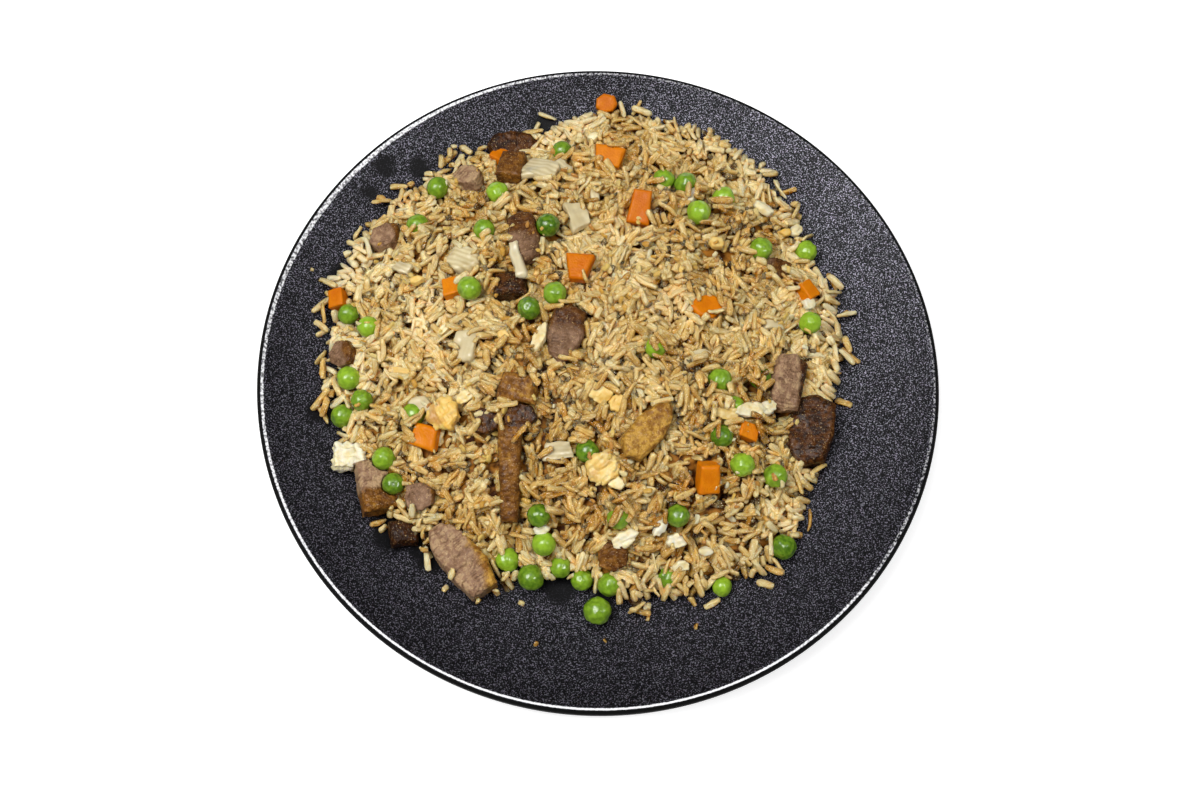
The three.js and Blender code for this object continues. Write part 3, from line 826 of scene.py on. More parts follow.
# Roast pork, in the order of the nodes: the way its crust faces, how much of the piece the crust
# covers, how dark the crust is, and how pink the cut meat is.
PORK_LOOKS = [
    ((-1, 0, 0.3), 1.0, 0.78, 0.3), ((-0.6, 0.6, 0.2), 1.0, 0.46, 0.3), ((0.2, 1, 0), 0.42, 0.62, 0.45),
    ((0, -1, 0), 1.0, 0.84, 0.1), ((0, 1, 0), 0.4, 0.66, 0.5), ((-1, 0, 0), 1.0, 0.34, 0.4),
    ((0, -1, 0), 1.0, 0.42, 0.2), ((0.3, -1, -0.1), 0.42, 0.38, 0.95), ((0, 0, 1), 1.0, 0.9, 0.1),
    ((1, 0.5, 0), 0.22, 0.1, 0.78), ((1, 0, -0.2), 0.24, 0.8, 0.75), ((0.8, 0.5, 0.3), 0.8, 0.82, 0.2),
    ((0.3, 1, 0), 1.0, 0.08, 0.6),
]
# Half-covered pieces of pork: x, y, lift, turn, crust share, how dark and how pink.
HIDDEN_PORK = [
    (-36.8, -27, -0.2, 20, 1.0, 0.8, 0.2), (-80, 43.5, -0.5, 50, 0.2, 0.5, 0.7),
    (-53.5, 69.5, -0.6, 10, 0.1, 0.4, 0.9), (-90.5, -2, -0.4, 70, 0.4, 0.5, 0.5),
    (61.5, 41, -0.8, 30, 0.5, 0.6, 0.3), (-58, -51.5, -0.2, -20, 0.15, 0.4, 0.6),
    (9.4, -67, -0.2, 15, 1.0, 0.5, 0.4), (-24.9, -25.6, -0.4, 0, 1.0, 0.75, 0.2),
]
FIBRE_SPACING = 1.4


def make_pork():
    sources = [node_shape(name) for name in nodes_called("pork")]
    looks = list(PORK_LOOKS)
    for x, y, lift, turn, cover, dark, pink in HIDDEN_PORK:
        scrap = slab(torn_outline(11, 9.6, 7, len(looks)), 5.5)
        sources.append(settled(scrap, heap_top, x, y, lift, turn))
        looks.append(((1, 0.4, 0), cover, dark, pink))
    whole = joined([one_pork(source, i, *looks[i]) for i, source in enumerate(sources)])
    return finish_piece("roast_pork", whole, pork_material(), nodes_called("pork"))


def one_pork(source, seed, way, cover, dark, pink):
    """A piece of roast pork: fibres across its length, a torn rim, and a crust on one side."""
    def fibres(own):
        wander = 1.6 * noise(own, 4.0, seed) + 0.5 * noise(own, 1.7, seed + 6)
        return np.sin((own[:, 0] + own[:, 2] * 0.6 + wander) * 2 * math.pi / FIBRE_SPACING)

    def relief(own):
        torn = layered_noise(own, 4.6, seed + 20, layers=3)
        ridges = 0.3 - np.abs(noise(own * (1, 1.6, 1.2), 2.0, seed + 8))
        strength = 0.3 + 0.7 * np.abs(noise(own, 2.6, seed + 2))
        return 0.7 * torn + 0.3 * ridges + 0.14 * fibres(own) * strength

    made, own = cut_piece(source, PORK_CELL, 1, relief)
    facing = np.array(way, dtype=float)
    facing /= np.linalg.norm(facing)
    along = (made.corners - made.corners.mean(axis=0)) @ facing
    low, high = along.min(), along.max()
    share = (high - along) / (high - low) + 0.12 * layered_noise(own, 3.0, seed + 31)
    crust = 1 - smooth_step(cover * 1.15 - 0.08, cover * 1.15 + 0.05, share)
    darkness = dark + 0.22 * layered_noise(own, 3.4, seed + 50)
    if cover >= 1:
        darkness = darkness - 0.25 * (share - 0.5)
    pinkness = pink + 0.3 * layered_noise(own, 4.0, seed + 70)
    # Painted shade in the grooves between the fibres, and dark blotches at random.
    patchy = smooth_step(-0.3, 0.5, noise(own, 2.2, seed + 95))
    groove = smooth_step(0.1, 0.9, -fibres(own)) * (0.75 - 0.2 * crust) * patchy
    groove = np.maximum(groove, 0.7 * smooth_step(0.35, 0.8, layered_noise(own, 2.4, seed + 90)))
    dark, pink = np.clip(darkness, 0, 1), np.clip(pinkness, 0, 1)
    return made.mark(crust=crust, dark=dark, pink=pink, groove=groove)


def pork_material():
    """Roast pork: dark glossy crust, greyish pink meat, painted shade in the fibre grooves with dark
    blotches, and small painted highlight flecks.
    """
    material, tree, shader = new_material("Roast pork")
    crust = add_attribute(tree, "crust")
    uneven = add_math(tree, "SUBTRACT", mottle(tree, 1.8), 0.3)
    dark = add_math(tree, "MULTIPLY_ADD", uneven, 0.3, add_attribute(tree, "dark"))
    pink = add_math(tree, "MULTIPLY_ADD", uneven, 0.3, add_attribute(tree, "pink"))
    glazed = add_ramp(tree, dark, [
        (0.0, linear(196, 150, 62)), (0.3, linear(140, 92, 32)), (0.6, linear(98, 58, 17)),
        (0.85, linear(74, 39, 9)), (1.0, linear(44, 21, 4)),
    ])
    meat = add_ramp(tree, pink, [
        (0.0, linear(82, 55, 32)), (0.45, linear(118, 87, 62)), (0.8, linear(150, 116, 90)),
        (1.0, linear(180, 148, 112)),
    ])
    colour = add_mix(tree, crust, meat, glazed)
    # Painted shade in the fibre grooves, and dark blotches.
    colour = add_mix(tree, add_attribute(tree, "groove"), colour, (0.32, 0.25, 0.2, 1), "MULTIPLY")
    # Painted highlight: small pale flecks on the meat.
    painted_glints = add_math(tree, "MULTIPLY", mottle(tree, 0.5, 0.62, 0.7), 0.5)
    colour = add_mix(tree, painted_glints, colour, linear(226, 190, 130))
    tree.links.new(colour, shader.inputs["Base Color"])
    rough = add_math(tree, "MULTIPLY_ADD", crust, -0.16, 0.5)
    rough = add_math(tree, "MULTIPLY_ADD", mottle(tree, 1.0), 0.14, rough)
    tree.links.new(rough, shader.inputs["Roughness"])
    shine = add_math(tree, "MULTIPLY_ADD", crust, 0.08, 0.03)
    tree.links.new(shine, shader.inputs["Coat Weight"])
    set_inputs(shader, {"Coat Roughness": 0.12, "Specular IOR Level": 0.15})
    set_flesh(shader, 0.06, 0.9, 0.6, 0.3)
    add_cells(tree, shader, 0.7, 0.35)
    return material


# Flakes of egg in the rice: x, y, length, width, turn, how yellow, and the lift.
EGG_FLAKES = [
    (12, -61.5, 10, 6, 30, 0.2, 1.2), (28.4, 64, 8, 6, 70, 0.1, 1.2), (55.4, 65, 9, 5, -20, 0.2, 1),
    (68, 58.6, 6, 4, 40, 0.3, 0.6), (51.5, -15, 13, 6, 10, 0.25, 1.6), (43.5, -17.5, 9, 5, -5, 0.5, 1.2),
    (57.5, -13, 8, 5, 35, 0.1, 1.6), (30, -60.5, 7, 5, 0, 0.15, 0.8), (1.4, -15.4, 8, 7, 20, 0.6, 0.4),
    (6.5, -17.5, 6, 5, 80, 0.7, 0.3), (-2.5, -12.6, 5, 4, 10, 0.6, 0.3), (-20.5, 3, 11, 5, 70, 0.35, 1.4),
    (32, -68.5, 6, 4, 20, 0.2, 0.4), (73, 28.7, 6, 5, 60, 0.15, 0.8), (-68, -9, 9, 4, -12, 0.6, 0.8),
    (-76, -4, 8, 3, 10, 0.5, 0.8), (19, -46, 6, 3, 20, 0.3, 0.7), (24, -57, 7, 4, 60, 0.1, 1),
    (8, -44, 7, 5, -40, 0.45, 0.6), (-44, -18, 8, 4, 30, 0.5, 0.8), (-15.6, -60, 5, 4, 10, 0.1, 1),
    (38, 46, 6, 4, 0, 0.7, 0.6), (64, 57, 5, 3, 15, 0.8, 0.6), (-54, 6, 6, 3, 50, 0.4, 0.6),
    (-8, 88, 5, 3, 30, 0.3, 0.5), (26, 34, 5, 3, 80, 0.8, 0.5), (-66, 24, 6, 3, 10, 0.7, 0.6),
    (40, -63, 5, 3, 0, 0.2, 0.5), (9, 20, 6, 3, -30, 0.75, 0.5), (-33, 4, 5, 4, 0, 0.6, 0.6),
]
# Egg pieces, in the order of the nodes: how yellow, how browned and how deep the folds.
EGG_LOOKS = [(0.15, 0.0, 1.4), (0.6, 0.45, 1.1), (0.75, 0.7, 1.1)]


def make_egg():
    shapes = []
    for i, name in enumerate(nodes_called("egg")):
        shapes.append(one_egg(node_shape(name), 80 + i, *EGG_LOOKS[i]))
    for i, (x, y, length, width, turn, yellow, lift) in enumerate(EGG_FLAKES):
        outline = torn_outline(length, width, 7, i)
        lean = 40 * (chance(12, i, 1, 5) - 0.5)
        source = settled(slab(outline, 2.4), heap_top, x, y, lift, turn, lean)
        shapes.append(one_egg(source, 120 + i, yellow, 0.3 * yellow, 0.7))
    return finish_piece("scrambled_egg", joined(shapes), egg_material(), nodes_called("egg"))


def one_egg(source, seed, yellow, brown, depth):
    """Cooked egg: soft folds and crumbs."""
    def relief(own):
        folds = np.abs(noise(own * (1, 1.9, 1.4), 3.0, seed)) - 0.3
        crumbs = np.abs(noise(own, 1.3, seed + 1)) - 0.3
        return depth * (folds + 0.4 * crumbs)

    made, own = cut_piece(source, SKIN_CELL, 2, relief)
    tint = yellow + 0.35 * layered_noise(own, 3.2, seed + 2)
    burnt = brown * smooth_step(-0.1, 0.5, noise(own, 3.0, seed + 3))
    return made.mark(yellow=np.clip(tint, 0, 1), burnt=burnt)


def egg_material():
    """Scrambled egg, from nearly white to deep yellow, browned in places."""
    material, tree, shader = new_material("Scrambled egg")
    yellow = add_math(tree, "MULTIPLY_ADD", mottle(tree, 1.6), 0.2, add_attribute(tree, "yellow"))
    colour = add_ramp(tree, yellow, [
        (0.0, linear(240, 234, 212)), (0.35, linear(240, 226, 178)),
        (0.7, linear(238, 206, 122)), (1.0, linear(232, 184, 78)),
    ])
    colour = add_mix(tree, add_attribute(tree, "burnt"), colour, linear(182, 124, 62))
    tree.links.new(colour, shader.inputs["Base Color"])
    set_inputs(shader, {"Roughness": 0.42, "Coat Weight": 0.15, "Coat Roughness": 0.2})
    set_flesh(shader, 0.3, 1.4, 1.1, 0.6)
    add_cells(tree, shader, 0.6, 0.12)
    return material


# Onion in the rice: x, y, length, width, thickness, turn, lift and curl.
ONION_BITS = [
    (-46.6, -0.4, 12, 8, 2.6, 80, 0.6, 0.8), (-26, 72, 15, 9, 3, -22, 1.6, 1.0),
    (-11.4, 52, 13, 7, 3, -70, 1.2, 0.8), (-12, -35, 11, 6, 2.6, 10, 0.6, 0.6),
    (-60.5, -21, 9, 6, 2.4, 20, 0.8, 0.5), (-18, 74, 9, 4, 2.4, -40, 1.4, 0.4),
    (-30, 70, 8, 4, 2.2, 0, 1.6, 0.4), (14, 44, 8, 3.4, 2, 60, 0.8, 0.4),
    (34, 2, 8, 4, 2, 30, 0.5, 0.3), (-6, 62, 9, 3.4, 2.2, -75, 1.2, 0.3),
    (60, 18, 8, 4, 2, 10, 0.5, 0.4), (-72, 30, 8, 4, 2, -30, 0.6, 0.4),
]
# Onion pieces, in the order of the nodes: the depth of their ribs and how white.
ONION_LOOKS = [(0.12, 0.2), (0.05, 0.8)]


def make_onion():
    shapes = []
    for i, name in enumerate(nodes_called("onion")):
        shapes.append(one_onion(node_shape(name), 200 + i, *ONION_LOOKS[i]))
    for i, (x, y, length, width, thick, turn, lift, curl) in enumerate(ONION_BITS):
        bit = remeshed(slab(box_outline(length, width, 0.75), thick), 0.5, 1)
        bit.corners[:, 2] -= curl * (bit.corners[:, 0] / (length / 2)) ** 2
        source = settled(bit, heap_top, x, y, lift, turn)
        shapes.append(one_onion(source, 220 + i, 0.02 + 0.1 * (i % 2), 0.4))
    return finish_piece("onion", joined(shapes), onion_material(), nodes_called("onion"))


def one_onion(source, seed, ribbing, white):
    """Cooked onion: ribs along its length, its ends frayed."""
    def relief(own):
        wander = 0.5 * noise(own, 4.0, seed)
        ribs = np.sin((own[:, 1] + wander) * 2 * math.pi / 1.5)
        ribs = ribs * (0.5 + 0.5 * noise(own, 3.0, seed + 7))
        return ribbing * 0.8 * ribs + 0.7 * noise(own, 3.0, seed + 1)

    made, own = cut_piece(source, SKIN_CELL, 2, relief)
    ribs = np.sin((own[:, 1] + 0.5 * noise(own, 4.0, seed)) * 2 * math.pi / 1.8)
    clear = 0.5 + 2.8 * ribbing * ribs + 0.4 * noise(own, 3.0, seed + 3)
    return made.mark(clear=np.clip(clear, 0, 1), white=white)


def onion_material():
    """Cooked onion: cream, glassier and darker between its ribs."""
    material, tree, shader = new_material("Cooked onion")
    clear = add_attribute(tree, "clear")
    colour = add_mix(tree, clear, linear(222, 208, 164), linear(182, 158, 100))
    white = add_math(tree, "MULTIPLY", add_attribute(tree, "white"), 0.5)
    colour = add_mix(tree, white, colour, linear(236, 228, 204))
    tree.links.new(colour, shader.inputs["Base Color"])
    set_inputs(shader, {"Roughness": 0.3, "Coat Weight": 0.3, "Coat Roughness": 0.14})
    set_flesh(shader, 0.4, 1.6, 1.4, 0.9)
    add_cells(tree, shader, 0.8, 0.05)
    return material


# ---- the rice ----

GRID_CELL = 0.5  # the raster of heights on which grains are laid
GRID_REACH = 121
GRID_COUNT = int(2 * GRID_REACH / GRID_CELL)
CORE_DEPTH = 4.2  # thickness of the layer of loose grains over the pressed core
CORE_SHARE = 0.94  # how far out on the mound the core carries grains
CORE_EDGE = 0.93  # how far out on the mound it reaches
CORE_GAP = 0.3  # between its foot and the plate
CORE_EDGE_RISE = 0.2  # its least thickness
CORE_BUMPS = 0.6
CORE_SIDES = 200
CORE_RINGS = 80
HOLE_DEPTH = 6  # of a dark gap in the rice
CORE_HOLE_DEPTH = 5  # how far grains may sink into the core there

LUMP_HEIGHT = 1.9  # unevenness of the mound's face
LUMP_SIZES = (12, 4.5)
CREASE_DEPTHS = (1.6, 2.8, 2.2)  # between clumps: everywhere, more in patches, and more in front
CREASE_WIDTH = 2.4
CLUMP_SPACING = 8.5
LOW_RIM = (0.72, 0.92)  # how far out on the mound its face gets even
RISE = 5.0  # how far a grain may stand above the mound's face
RIM_FALL = 3.3  # and how much less of that it may near the rim
RICE_TOP = 42.2  # nothing of the rice stands higher

ROD_STOPS = np.array([-0.85, -0.62, -0.4, -0.2, -0.05, 0.05, 0.2, 0.4, 0.62, 0.85])
ROD_ENDS = np.array([-0.85, 0, 0.85])
ROD_SIDES = np.array([-0.7, 0.0, 0.7])
PLACES_TRIED = 24
WAYS_TRIED = 3
WIDTH_LIMITS = (1.6, 2.9)
WHOLE_LENGTHS = (5, 9)
BROKEN_LENGTHS = (2.8, 5.4)
STEEPEST = 0.75  # slope at which a bedded grain slips and digs in instead
STEEPEST_STUCK = 1.6
PRESS = 1.0  # how far soft grains sink into what they lie on
RIM_PRESS = 0.6  # and how far those on a topping's rim do
STICKY_DEPTH = 3.4  # how far below the mound's face grains stick in clumps at a slant
STICKY_SHARE = 0.93  # and how far out on the mound
SIGHT_DEPTH = 1.3  # grains that lie deeper than this aren't made
TUFT = 4  # loose grains that lie together at the mound's foot
EDGE_RISE = 5.5  # how far above the plate they may lie
EDGE_SLOPE = 0.45
# Dark gaps in the rice, sunk deeper and painted nearly black as shadow: x, y and radius.
HOLES = [
    (-37.2, -7.6, 3.0), (56.9, 5.3, 3.2), (52.3, -7.2, 2.6), (63.7, -13.4, 3.4), (24, -27, 1.6),
    (7, -38, 1.5), (45, -44, 1.8), (-8, 27, 1.2), (30, 15, 1.3),
]
# Loose crumbs and grains on the bare plate: x, y, length and how golden.
CRUMBS = [
    (-29.6, -80.9, 3.4, 0.3), (-44.6, -76.9, 4.2, 0.2), (-27, -75.8, 3.6, 0.3),
    (-59.8, -56.8, 5.5, 0.1), (-55.4, -68.4, 3.2, 0.6), (54.5, -69.7, 2.2, 0.6),
    (-14.9, -97.3, 2.0, 0.8), (8, -94.6, 1.6, 0.7), (38.3, -87.6, 2.4, 0.7),
    (-106.1, 30.7, 1.6, 0.4), (-26.4, 100.8, 7.5, 0.1), (82.9, 36, 8.5, 0.1),
    (-67.4, -55.8, 2.4, 0.3), (-47, -80.5, 2.8, 0.2), (-35.4, -84.6, 2.6, 0.3),
    (-21, -83.4, 2.4, 0.3), (16.6, -84, 2.6, 0.3), (62, -53.5, 6.5, 0.1), (84.5, 22, 7, 0.15),
    (-60, 84, 3, 0.1), (22, -86, 1.8, 0.5),
]
# The pieces of the mound, and the tones of the grains in each. The tones carry painted shade as well as
# each grain's own colour.
RICE_PIECES = {
    "rice_pale": (-9, 0.27), "rice_light": (0.27, 0.42), "rice_golden": (0.42, 0.6),
    "rice_browned": (0.6, 0.85), "rice_deep": (0.85, 9),
}
# How many cells of the raster the rice may cover round what shows of each kind of topping.
COVERED_RIMS = {"peas": 2, "carrot_dice": 4, "roast_pork": 7, "scrambled_egg": 4, "onion": 5}

# A grain's middle, the way it points seen from above and its slope, half its length and half its
# width, how golden it is of itself, and its turn about its own length.
Grain = namedtuple("Grain", "x y z heading slope half radius tone roll", defaults=(0, 0))


def grid_place(value):
    """The row or column of the raster at a place."""
    return np.clip(((value + GRID_REACH) / GRID_CELL).astype(int), 0, GRID_COUNT - 1)


def cell_middle(index):
    return (index + 0.5) * GRID_CELL - GRID_REACH


def grain_radius(stops):
    """Half-width of a grain along its length, as a share of its widest."""
    return (1 - np.abs(stops) ** 2) ** 0.26


def under_grain(grain, stops=ROD_STOPS):
    """The raster's places along a grain, and the heights of its middle line there."""
    along = stops * grain.half
    rows = grid_place(grain.y + along * math.sin(grain.heading))
    columns = grid_place(grain.x + along * math.cos(grain.heading))
    return (rows, columns), grain.z + grain.slope * along


def hollow_at(x, y):
    """How much of a dark gap there is at a place: 1 in its middle and 0 outside it."""
    hollow = np.zeros(x.shape)
    for left, front, radius in HOLES:
        away = np.hypot(x - left, y - front) / radius
        hollow = np.maximum(hollow, 1 - smooth_step(0.5, 1.2, away))
    return hollow


def clump_raster(x, y):
    """The clump that each place belongs to: its number, its middle, and the way to its rim."""
    nearest = np.full(x.shape, np.inf)
    second = nearest.copy()
    number, middle_x, middle_y = np.zeros((3,) + x.shape)
    for step_x, step_y in itertools.product((-1, 0, 1), repeat=2):
        cells = np.column_stack([
            (np.floor(x / CLUMP_SPACING) + step_x).ravel(),
            (np.floor(y / CLUMP_SPACING) + step_y).ravel(),
        ])
        near_x, near_y = (
            ((cells[:, k] + 0.1 + 0.8 * hashed(cells, 61 + k)) * CLUMP_SPACING).reshape(x.shape)
            for k in (0, 1)
        )
        distance = np.hypot(x - near_x, y - near_y)
        closer = distance < nearest
        second = np.where(closer, nearest, np.minimum(second, distance))
        nearest = np.where(closer, distance, nearest)
        number = np.where(closer, hashed(cells, 63).reshape(x.shape), number)
        middle_x = np.where(closer, near_x, middle_x)
        middle_y = np.where(closer, near_y, middle_y)
    return number, middle_x, middle_y, (second - nearest) / 2


class Ground:
    """Heights of what already lies on the plate, and where toppings are kept in sight."""

    def __init__(self, toppings):
        x, y = np.meshgrid(*[cell_middle(np.arange(GRID_COUNT))] * 2)
        points = np.column_stack([x.ravel(), y.ravel()])

        def rough(size, seed):
            return noise(points, size, seed).reshape(x.shape)

        smooth = heap_top(x, y)
        hollow = hollow_at(x, y)
        share = heap_share(x, y)
        low = smooth_step(*LOW_RIM, share)
        lumps = LUMP_HEIGHT * layered_noise(points, LUMP_SIZES[0], 5, 2).reshape(x.shape)
        lumps += LUMP_HEIGHT * rough(LUMP_SIZES[1], 7)
        lumps *= 1 - 0.6 * low
        least, patches, front = CREASE_DEPTHS
        crease = least + patches * smooth_step(-0.3, 0.6, rough(20, 6))
        crease += front * smooth_step(5, 45, -y)
        self.clump, self.middle_x, self.middle_y, to_rim = clump_raster(x, y)
        self.target = smooth + lumps - crease * (1 - smooth_step(0, CREASE_WIDTH, to_rim))
        self.target -= HOLE_DEPTH * hollow
        self.limit = smooth + lumps + RISE - RIM_FALL * low
        self.slope_y, self.slope_x = np.clip(np.gradient(smooth, GRID_CELL), -1.1, 1.1)
        self.share = share + 0.03 * rough(7, 8)
        self.inside = self.share < 0.985
        core = smooth - CORE_DEPTH - CORE_HOLE_DEPTH * hollow
        self.height = np.maximum(plate_top(x, y), np.where(share < CORE_SHARE, core, 0))
        self.shown = hollow > 0.5
        self.rims = np.zeros(self.shown.shape, dtype=bool)
        for topping, rim in toppings:
            self.lay(topping, rim)

    def lay(self, topping, rim):
        """Adds a topping's upper face, found by rays from above. Rice may cover its rim."""
        mesh = topping.data
        tree = BVHTree.FromPolygons(
            [vertex.co / MM for vertex in mesh.vertices],
            [polygon.vertices[:] for polygon in mesh.polygons],
        )
        corners = np.empty(len(mesh.vertices) * 3, dtype=np.float32)
        mesh.vertices.foreach_get("co", corners)
        corners = corners.reshape(-1, 3) / MM
        near = np.zeros(self.height.shape, dtype=bool)
        near[grid_place(corners[:, 1]), grid_place(corners[:, 0])] = True
        down = Vector((0, 0, -1))
        seen = np.zeros(self.height.shape, dtype=bool)
        for row, column in np.argwhere(near):
            start = Vector((cell_middle(column), cell_middle(row), 80))
            hit = tree.ray_cast(start, down)[0]
            if hit is not None and hit.z > self.height[row, column]:
                self.height[row, column] = hit.z
                seen[row, column] = hit.z > self.target[row, column] + 0.1
        whole = seen.copy()
        for step in range(rim):
            beside = seen[2:, 1:-1] & seen[:-2, 1:-1] & seen[1:-1, 2:] & seen[1:-1, :-2]
            seen[1:-1, 1:-1] &= beside
            if step == 1:
                self.rims |= whole & ~seen
        self.shown |= seen

    def rest(self, x, y, heading, half, radius):
        """Where a grain comes to rest: its middle's height, its slope, and its cover of toppings."""
        ahead = np.array((math.cos(heading), math.sin(heading)))
        widths = radius * grain_radius(ROD_STOPS)
        along = ROD_STOPS * half
        rows = grid_place(y + along * ahead[1] + np.outer(ROD_SIDES, widths) * ahead[0])
        columns = grid_place(x + along * ahead[0] - np.outer(ROD_SIDES, widths) * ahead[1])
        lifted = self.height[rows, columns] + widths * np.sqrt(1 - ROD_SIDES ** 2)[:, None]
        need = lifted.max(axis=0)
        count = len(ROD_STOPS) // 2
        left, right = along[:count, None], along[None, count:]
        levels = (need[:count, None] * right - need[None, count:] * left) / (right - left)
        i, j = divmod(int(levels.argmax()), count)
        slope = (need[count + j] - need[i]) / (along[count + j] - along[i])
        return levels[i, j], slope, self.shown[rows[1], columns[1]].mean()

    def holds(self, grain):
        """Whether both ends of a grain stay near the mound's face."""
        places, middles = under_grain(grain, ROD_ENDS)
        top = middles + grain.radius * grain_radius(ROD_ENDS)
        return bool((top < np.minimum(self.limit[places], RICE_TOP)).all())

    def clearance(self, grain):
        """How far a grain must come down to touch what lies below it."""
        places, middles = under_grain(grain)
        under = middles - grain.radius * grain_radius(ROD_STOPS)
        return max(0.0, float((under - self.height[places]).min()) + 0.4)

    def stamp(self, grain):
        """Adds a grain's upper face to the heights, and takes what it hides out of sight."""
        reach = int((grain.half + 1) / GRID_CELL) + 1
        row = int((grain.y + GRID_REACH) / GRID_CELL)
        column = int((grain.x + GRID_REACH) / GRID_CELL)
        rows = slice(max(0, row - reach), min(GRID_COUNT, row + reach + 1))
        columns = slice(max(0, column - reach), min(GRID_COUNT, column + reach + 1))
        dx = cell_middle(np.arange(columns.start, columns.stop)) - grain.x
        dy = (cell_middle(np.arange(rows.start, rows.stop)) - grain.y)[:, None]
        along = dx * math.cos(grain.heading) + dy * math.sin(grain.heading)
        aside = dy * math.cos(grain.heading) - dx * math.sin(grain.heading)
        share = np.clip(np.abs(along) / grain.half, 0, 1)
        widths = grain.radius * grain_radius(share)
        over = np.sqrt(np.clip(widths ** 2 - aside ** 2, 0, None))
        top = grain.z + grain.slope * along + over
        covered = (share < 1) & (np.abs(aside) < widths)
        window = self.height[rows, columns]
        np.maximum(window, np.where(covered, top, -1e3), out=window)
        self.shown[rows, columns] &= ~covered


def in_sight(ground, grain):
    """Whether any of a grain shows in the finished mound, or lies only just below its face."""
    places, middles = under_grain(grain)
    top = middles + grain.radius * grain_radius(ROD_STOPS)
    return bool((top > ground.height[places] - SIGHT_DEPTH).any())


def lay_rice(ground, settings):
    """Lays grains one by one where the mound is still too low."""
    rng = np.random.default_rng(settings.seed)
    rows, columns = np.nonzero(ground.inside)
    grains = []
    for _ in range(settings.grain_count):
        picks = rng.integers(len(rows), size=PLACES_TRIED)
        places = rows[picks], columns[picks]
        lack = ground.target[places] - ground.height[places]
        best = picks[int(lack.argmax())]
        if lack.max() < settings.fill_gap:
            continue
        jitter = rng.uniform(-0.5, 0.5, size=2) * GRID_CELL
        x = cell_middle(columns[best]) + jitter[0]
        y = cell_middle(rows[best]) + jitter[1]
        grain = lay_grain(ground, rng, x, y, lack.max(), settings)
        if grain is not None:
            grains.append(grain)
    return grains


def lay_grain(ground, rng, x, y, lack, settings):
    """One grain at a place, or nothing if it would hide a topping or stand too high."""
    if rng.random() < settings.broken_share:
        half = rng.uniform(*BROKEN_LENGTHS) / 2
    else:
        half = np.clip(rng.normal(settings.grain_length, 0.8), *WHOLE_LENGTHS) / 2
    radius = np.clip(rng.normal(settings.grain_width, 0.25), *WIDTH_LIMITS) / 2
    place = (int(grid_place(np.array(y))), int(grid_place(np.array(x))))
    if lack < STICKY_DEPTH and ground.share[place] < STICKY_SHARE:
        grain, cover = stuck_grain(ground, rng, place, x, y, half, radius)
    else:
        grain, cover = bedded_grain(ground, rng, x, y, half, radius)
    if cover > 0.12 and rng.random() < settings.topping_care:
        return None
    if not ground.holds(grain):
        return None
    ground.stamp(grain)
    return grain._replace(tone=rng.random(), roll=rng.uniform(0, 2 * math.pi))


def bedded_grain(ground, rng, x, y, half, radius):
    """A grain on those below it, in the lowest of a few ways, and its cover of toppings."""
    choices = []
    for _ in range(WAYS_TRIED):
        heading = rng.uniform(0, 2 * math.pi)
        level, slope, cover = ground.rest(x, y, heading, half, radius)
        choices.append((cover * 6 + level * 0.25 + rng.random() * 0.2, level, slope, cover, heading))
    _, level, slope, cover, heading = min(choices)
    slope = float(np.clip(slope, -STEEPEST, STEEPEST))
    return Grain(x, y, level - PRESS, heading, slope, half, radius), cover


def stuck_grain(ground, rng, place, x, y, half, radius):
    """A grain that sticks in its clump at a slant, and its cover of toppings."""
    heading, slope = stuck_way(ground, rng, place, x, y)
    cover = ground.rest(x, y, heading, half, radius)[2]
    ahead = np.array((math.cos(heading), math.sin(heading)))
    z = ground.target[place] + rng.uniform(-1.2, 1.3) - radius * 0.8 - abs(slope) * half * 0.6
    tangent = ahead[0] * ground.slope_x[place] + ahead[1] * ground.slope_y[place]
    slope = float(np.clip(slope + tangent, -STEEPEST_STUCK, STEEPEST_STUCK))
    for end in (-1, 1):
        floor = float(plate_top(x + end * half * ahead[0], y + end * half * ahead[1]))
        z = max(z, floor + radius * 0.6 - end * slope * half * 0.8)
    grain = Grain(x, y, z, heading, slope, half, radius)
    return grain._replace(z=z - ground.clearance(grain)), cover


def stuck_way(ground, rng, place, x, y):
    """How a grain lies in its clump: along its bundle, fanning out from its middle, or loose."""
    number = ground.clump[place]
    if rng.random() < 0.15:
        return rng.uniform(0, 2 * math.pi), rng.normal(0, 0.8)
    if number * 7 % 1 < 0.45:
        away = math.atan2(y - ground.middle_y[place], x - ground.middle_x[place])
        return away + rng.normal(0, 0.35), float(np.clip(rng.normal(-0.5, 0.5), -1.6, 1.0))
    heading = 2 * math.pi * (number * 13 % 1) + rng.normal(0, 0.3)
    return heading, float(np.clip(1.8 * (number * 29 % 1 - 0.5) + rng.normal(0, 0.4), -1.6, 1.6))


def rim_rice(ground, settings):
    """Grains that lie over the rims of the toppings."""
    rng = np.random.default_rng(settings.seed + 4)
    rows, columns = np.nonzero(ground.rims & ground.inside)
    grains = []
    for pick in rng.permutation(len(rows))[:settings.rim_count]:
        x = (columns[pick] + rng.random()) * GRID_CELL - GRID_REACH
        y = (rows[pick] + rng.random()) * GRID_CELL - GRID_REACH
        half = rng.uniform(4.5, settings.grain_length + 0.5) / 2
        radius = rng.normal(settings.grain_width, 0.2) / 2
        grain, cover = bedded_grain(ground, rng, x, y, half, radius)
        grain = grain._replace(z=grain.z + (PRESS - RIM_PRESS))
        if cover > 0.45 or not ground.holds(grain):
            continue
        ground.stamp(grain)
        grains.append(grain._replace(tone=rng.random(), roll=rng.uniform(0, 6.28)))
    return grains


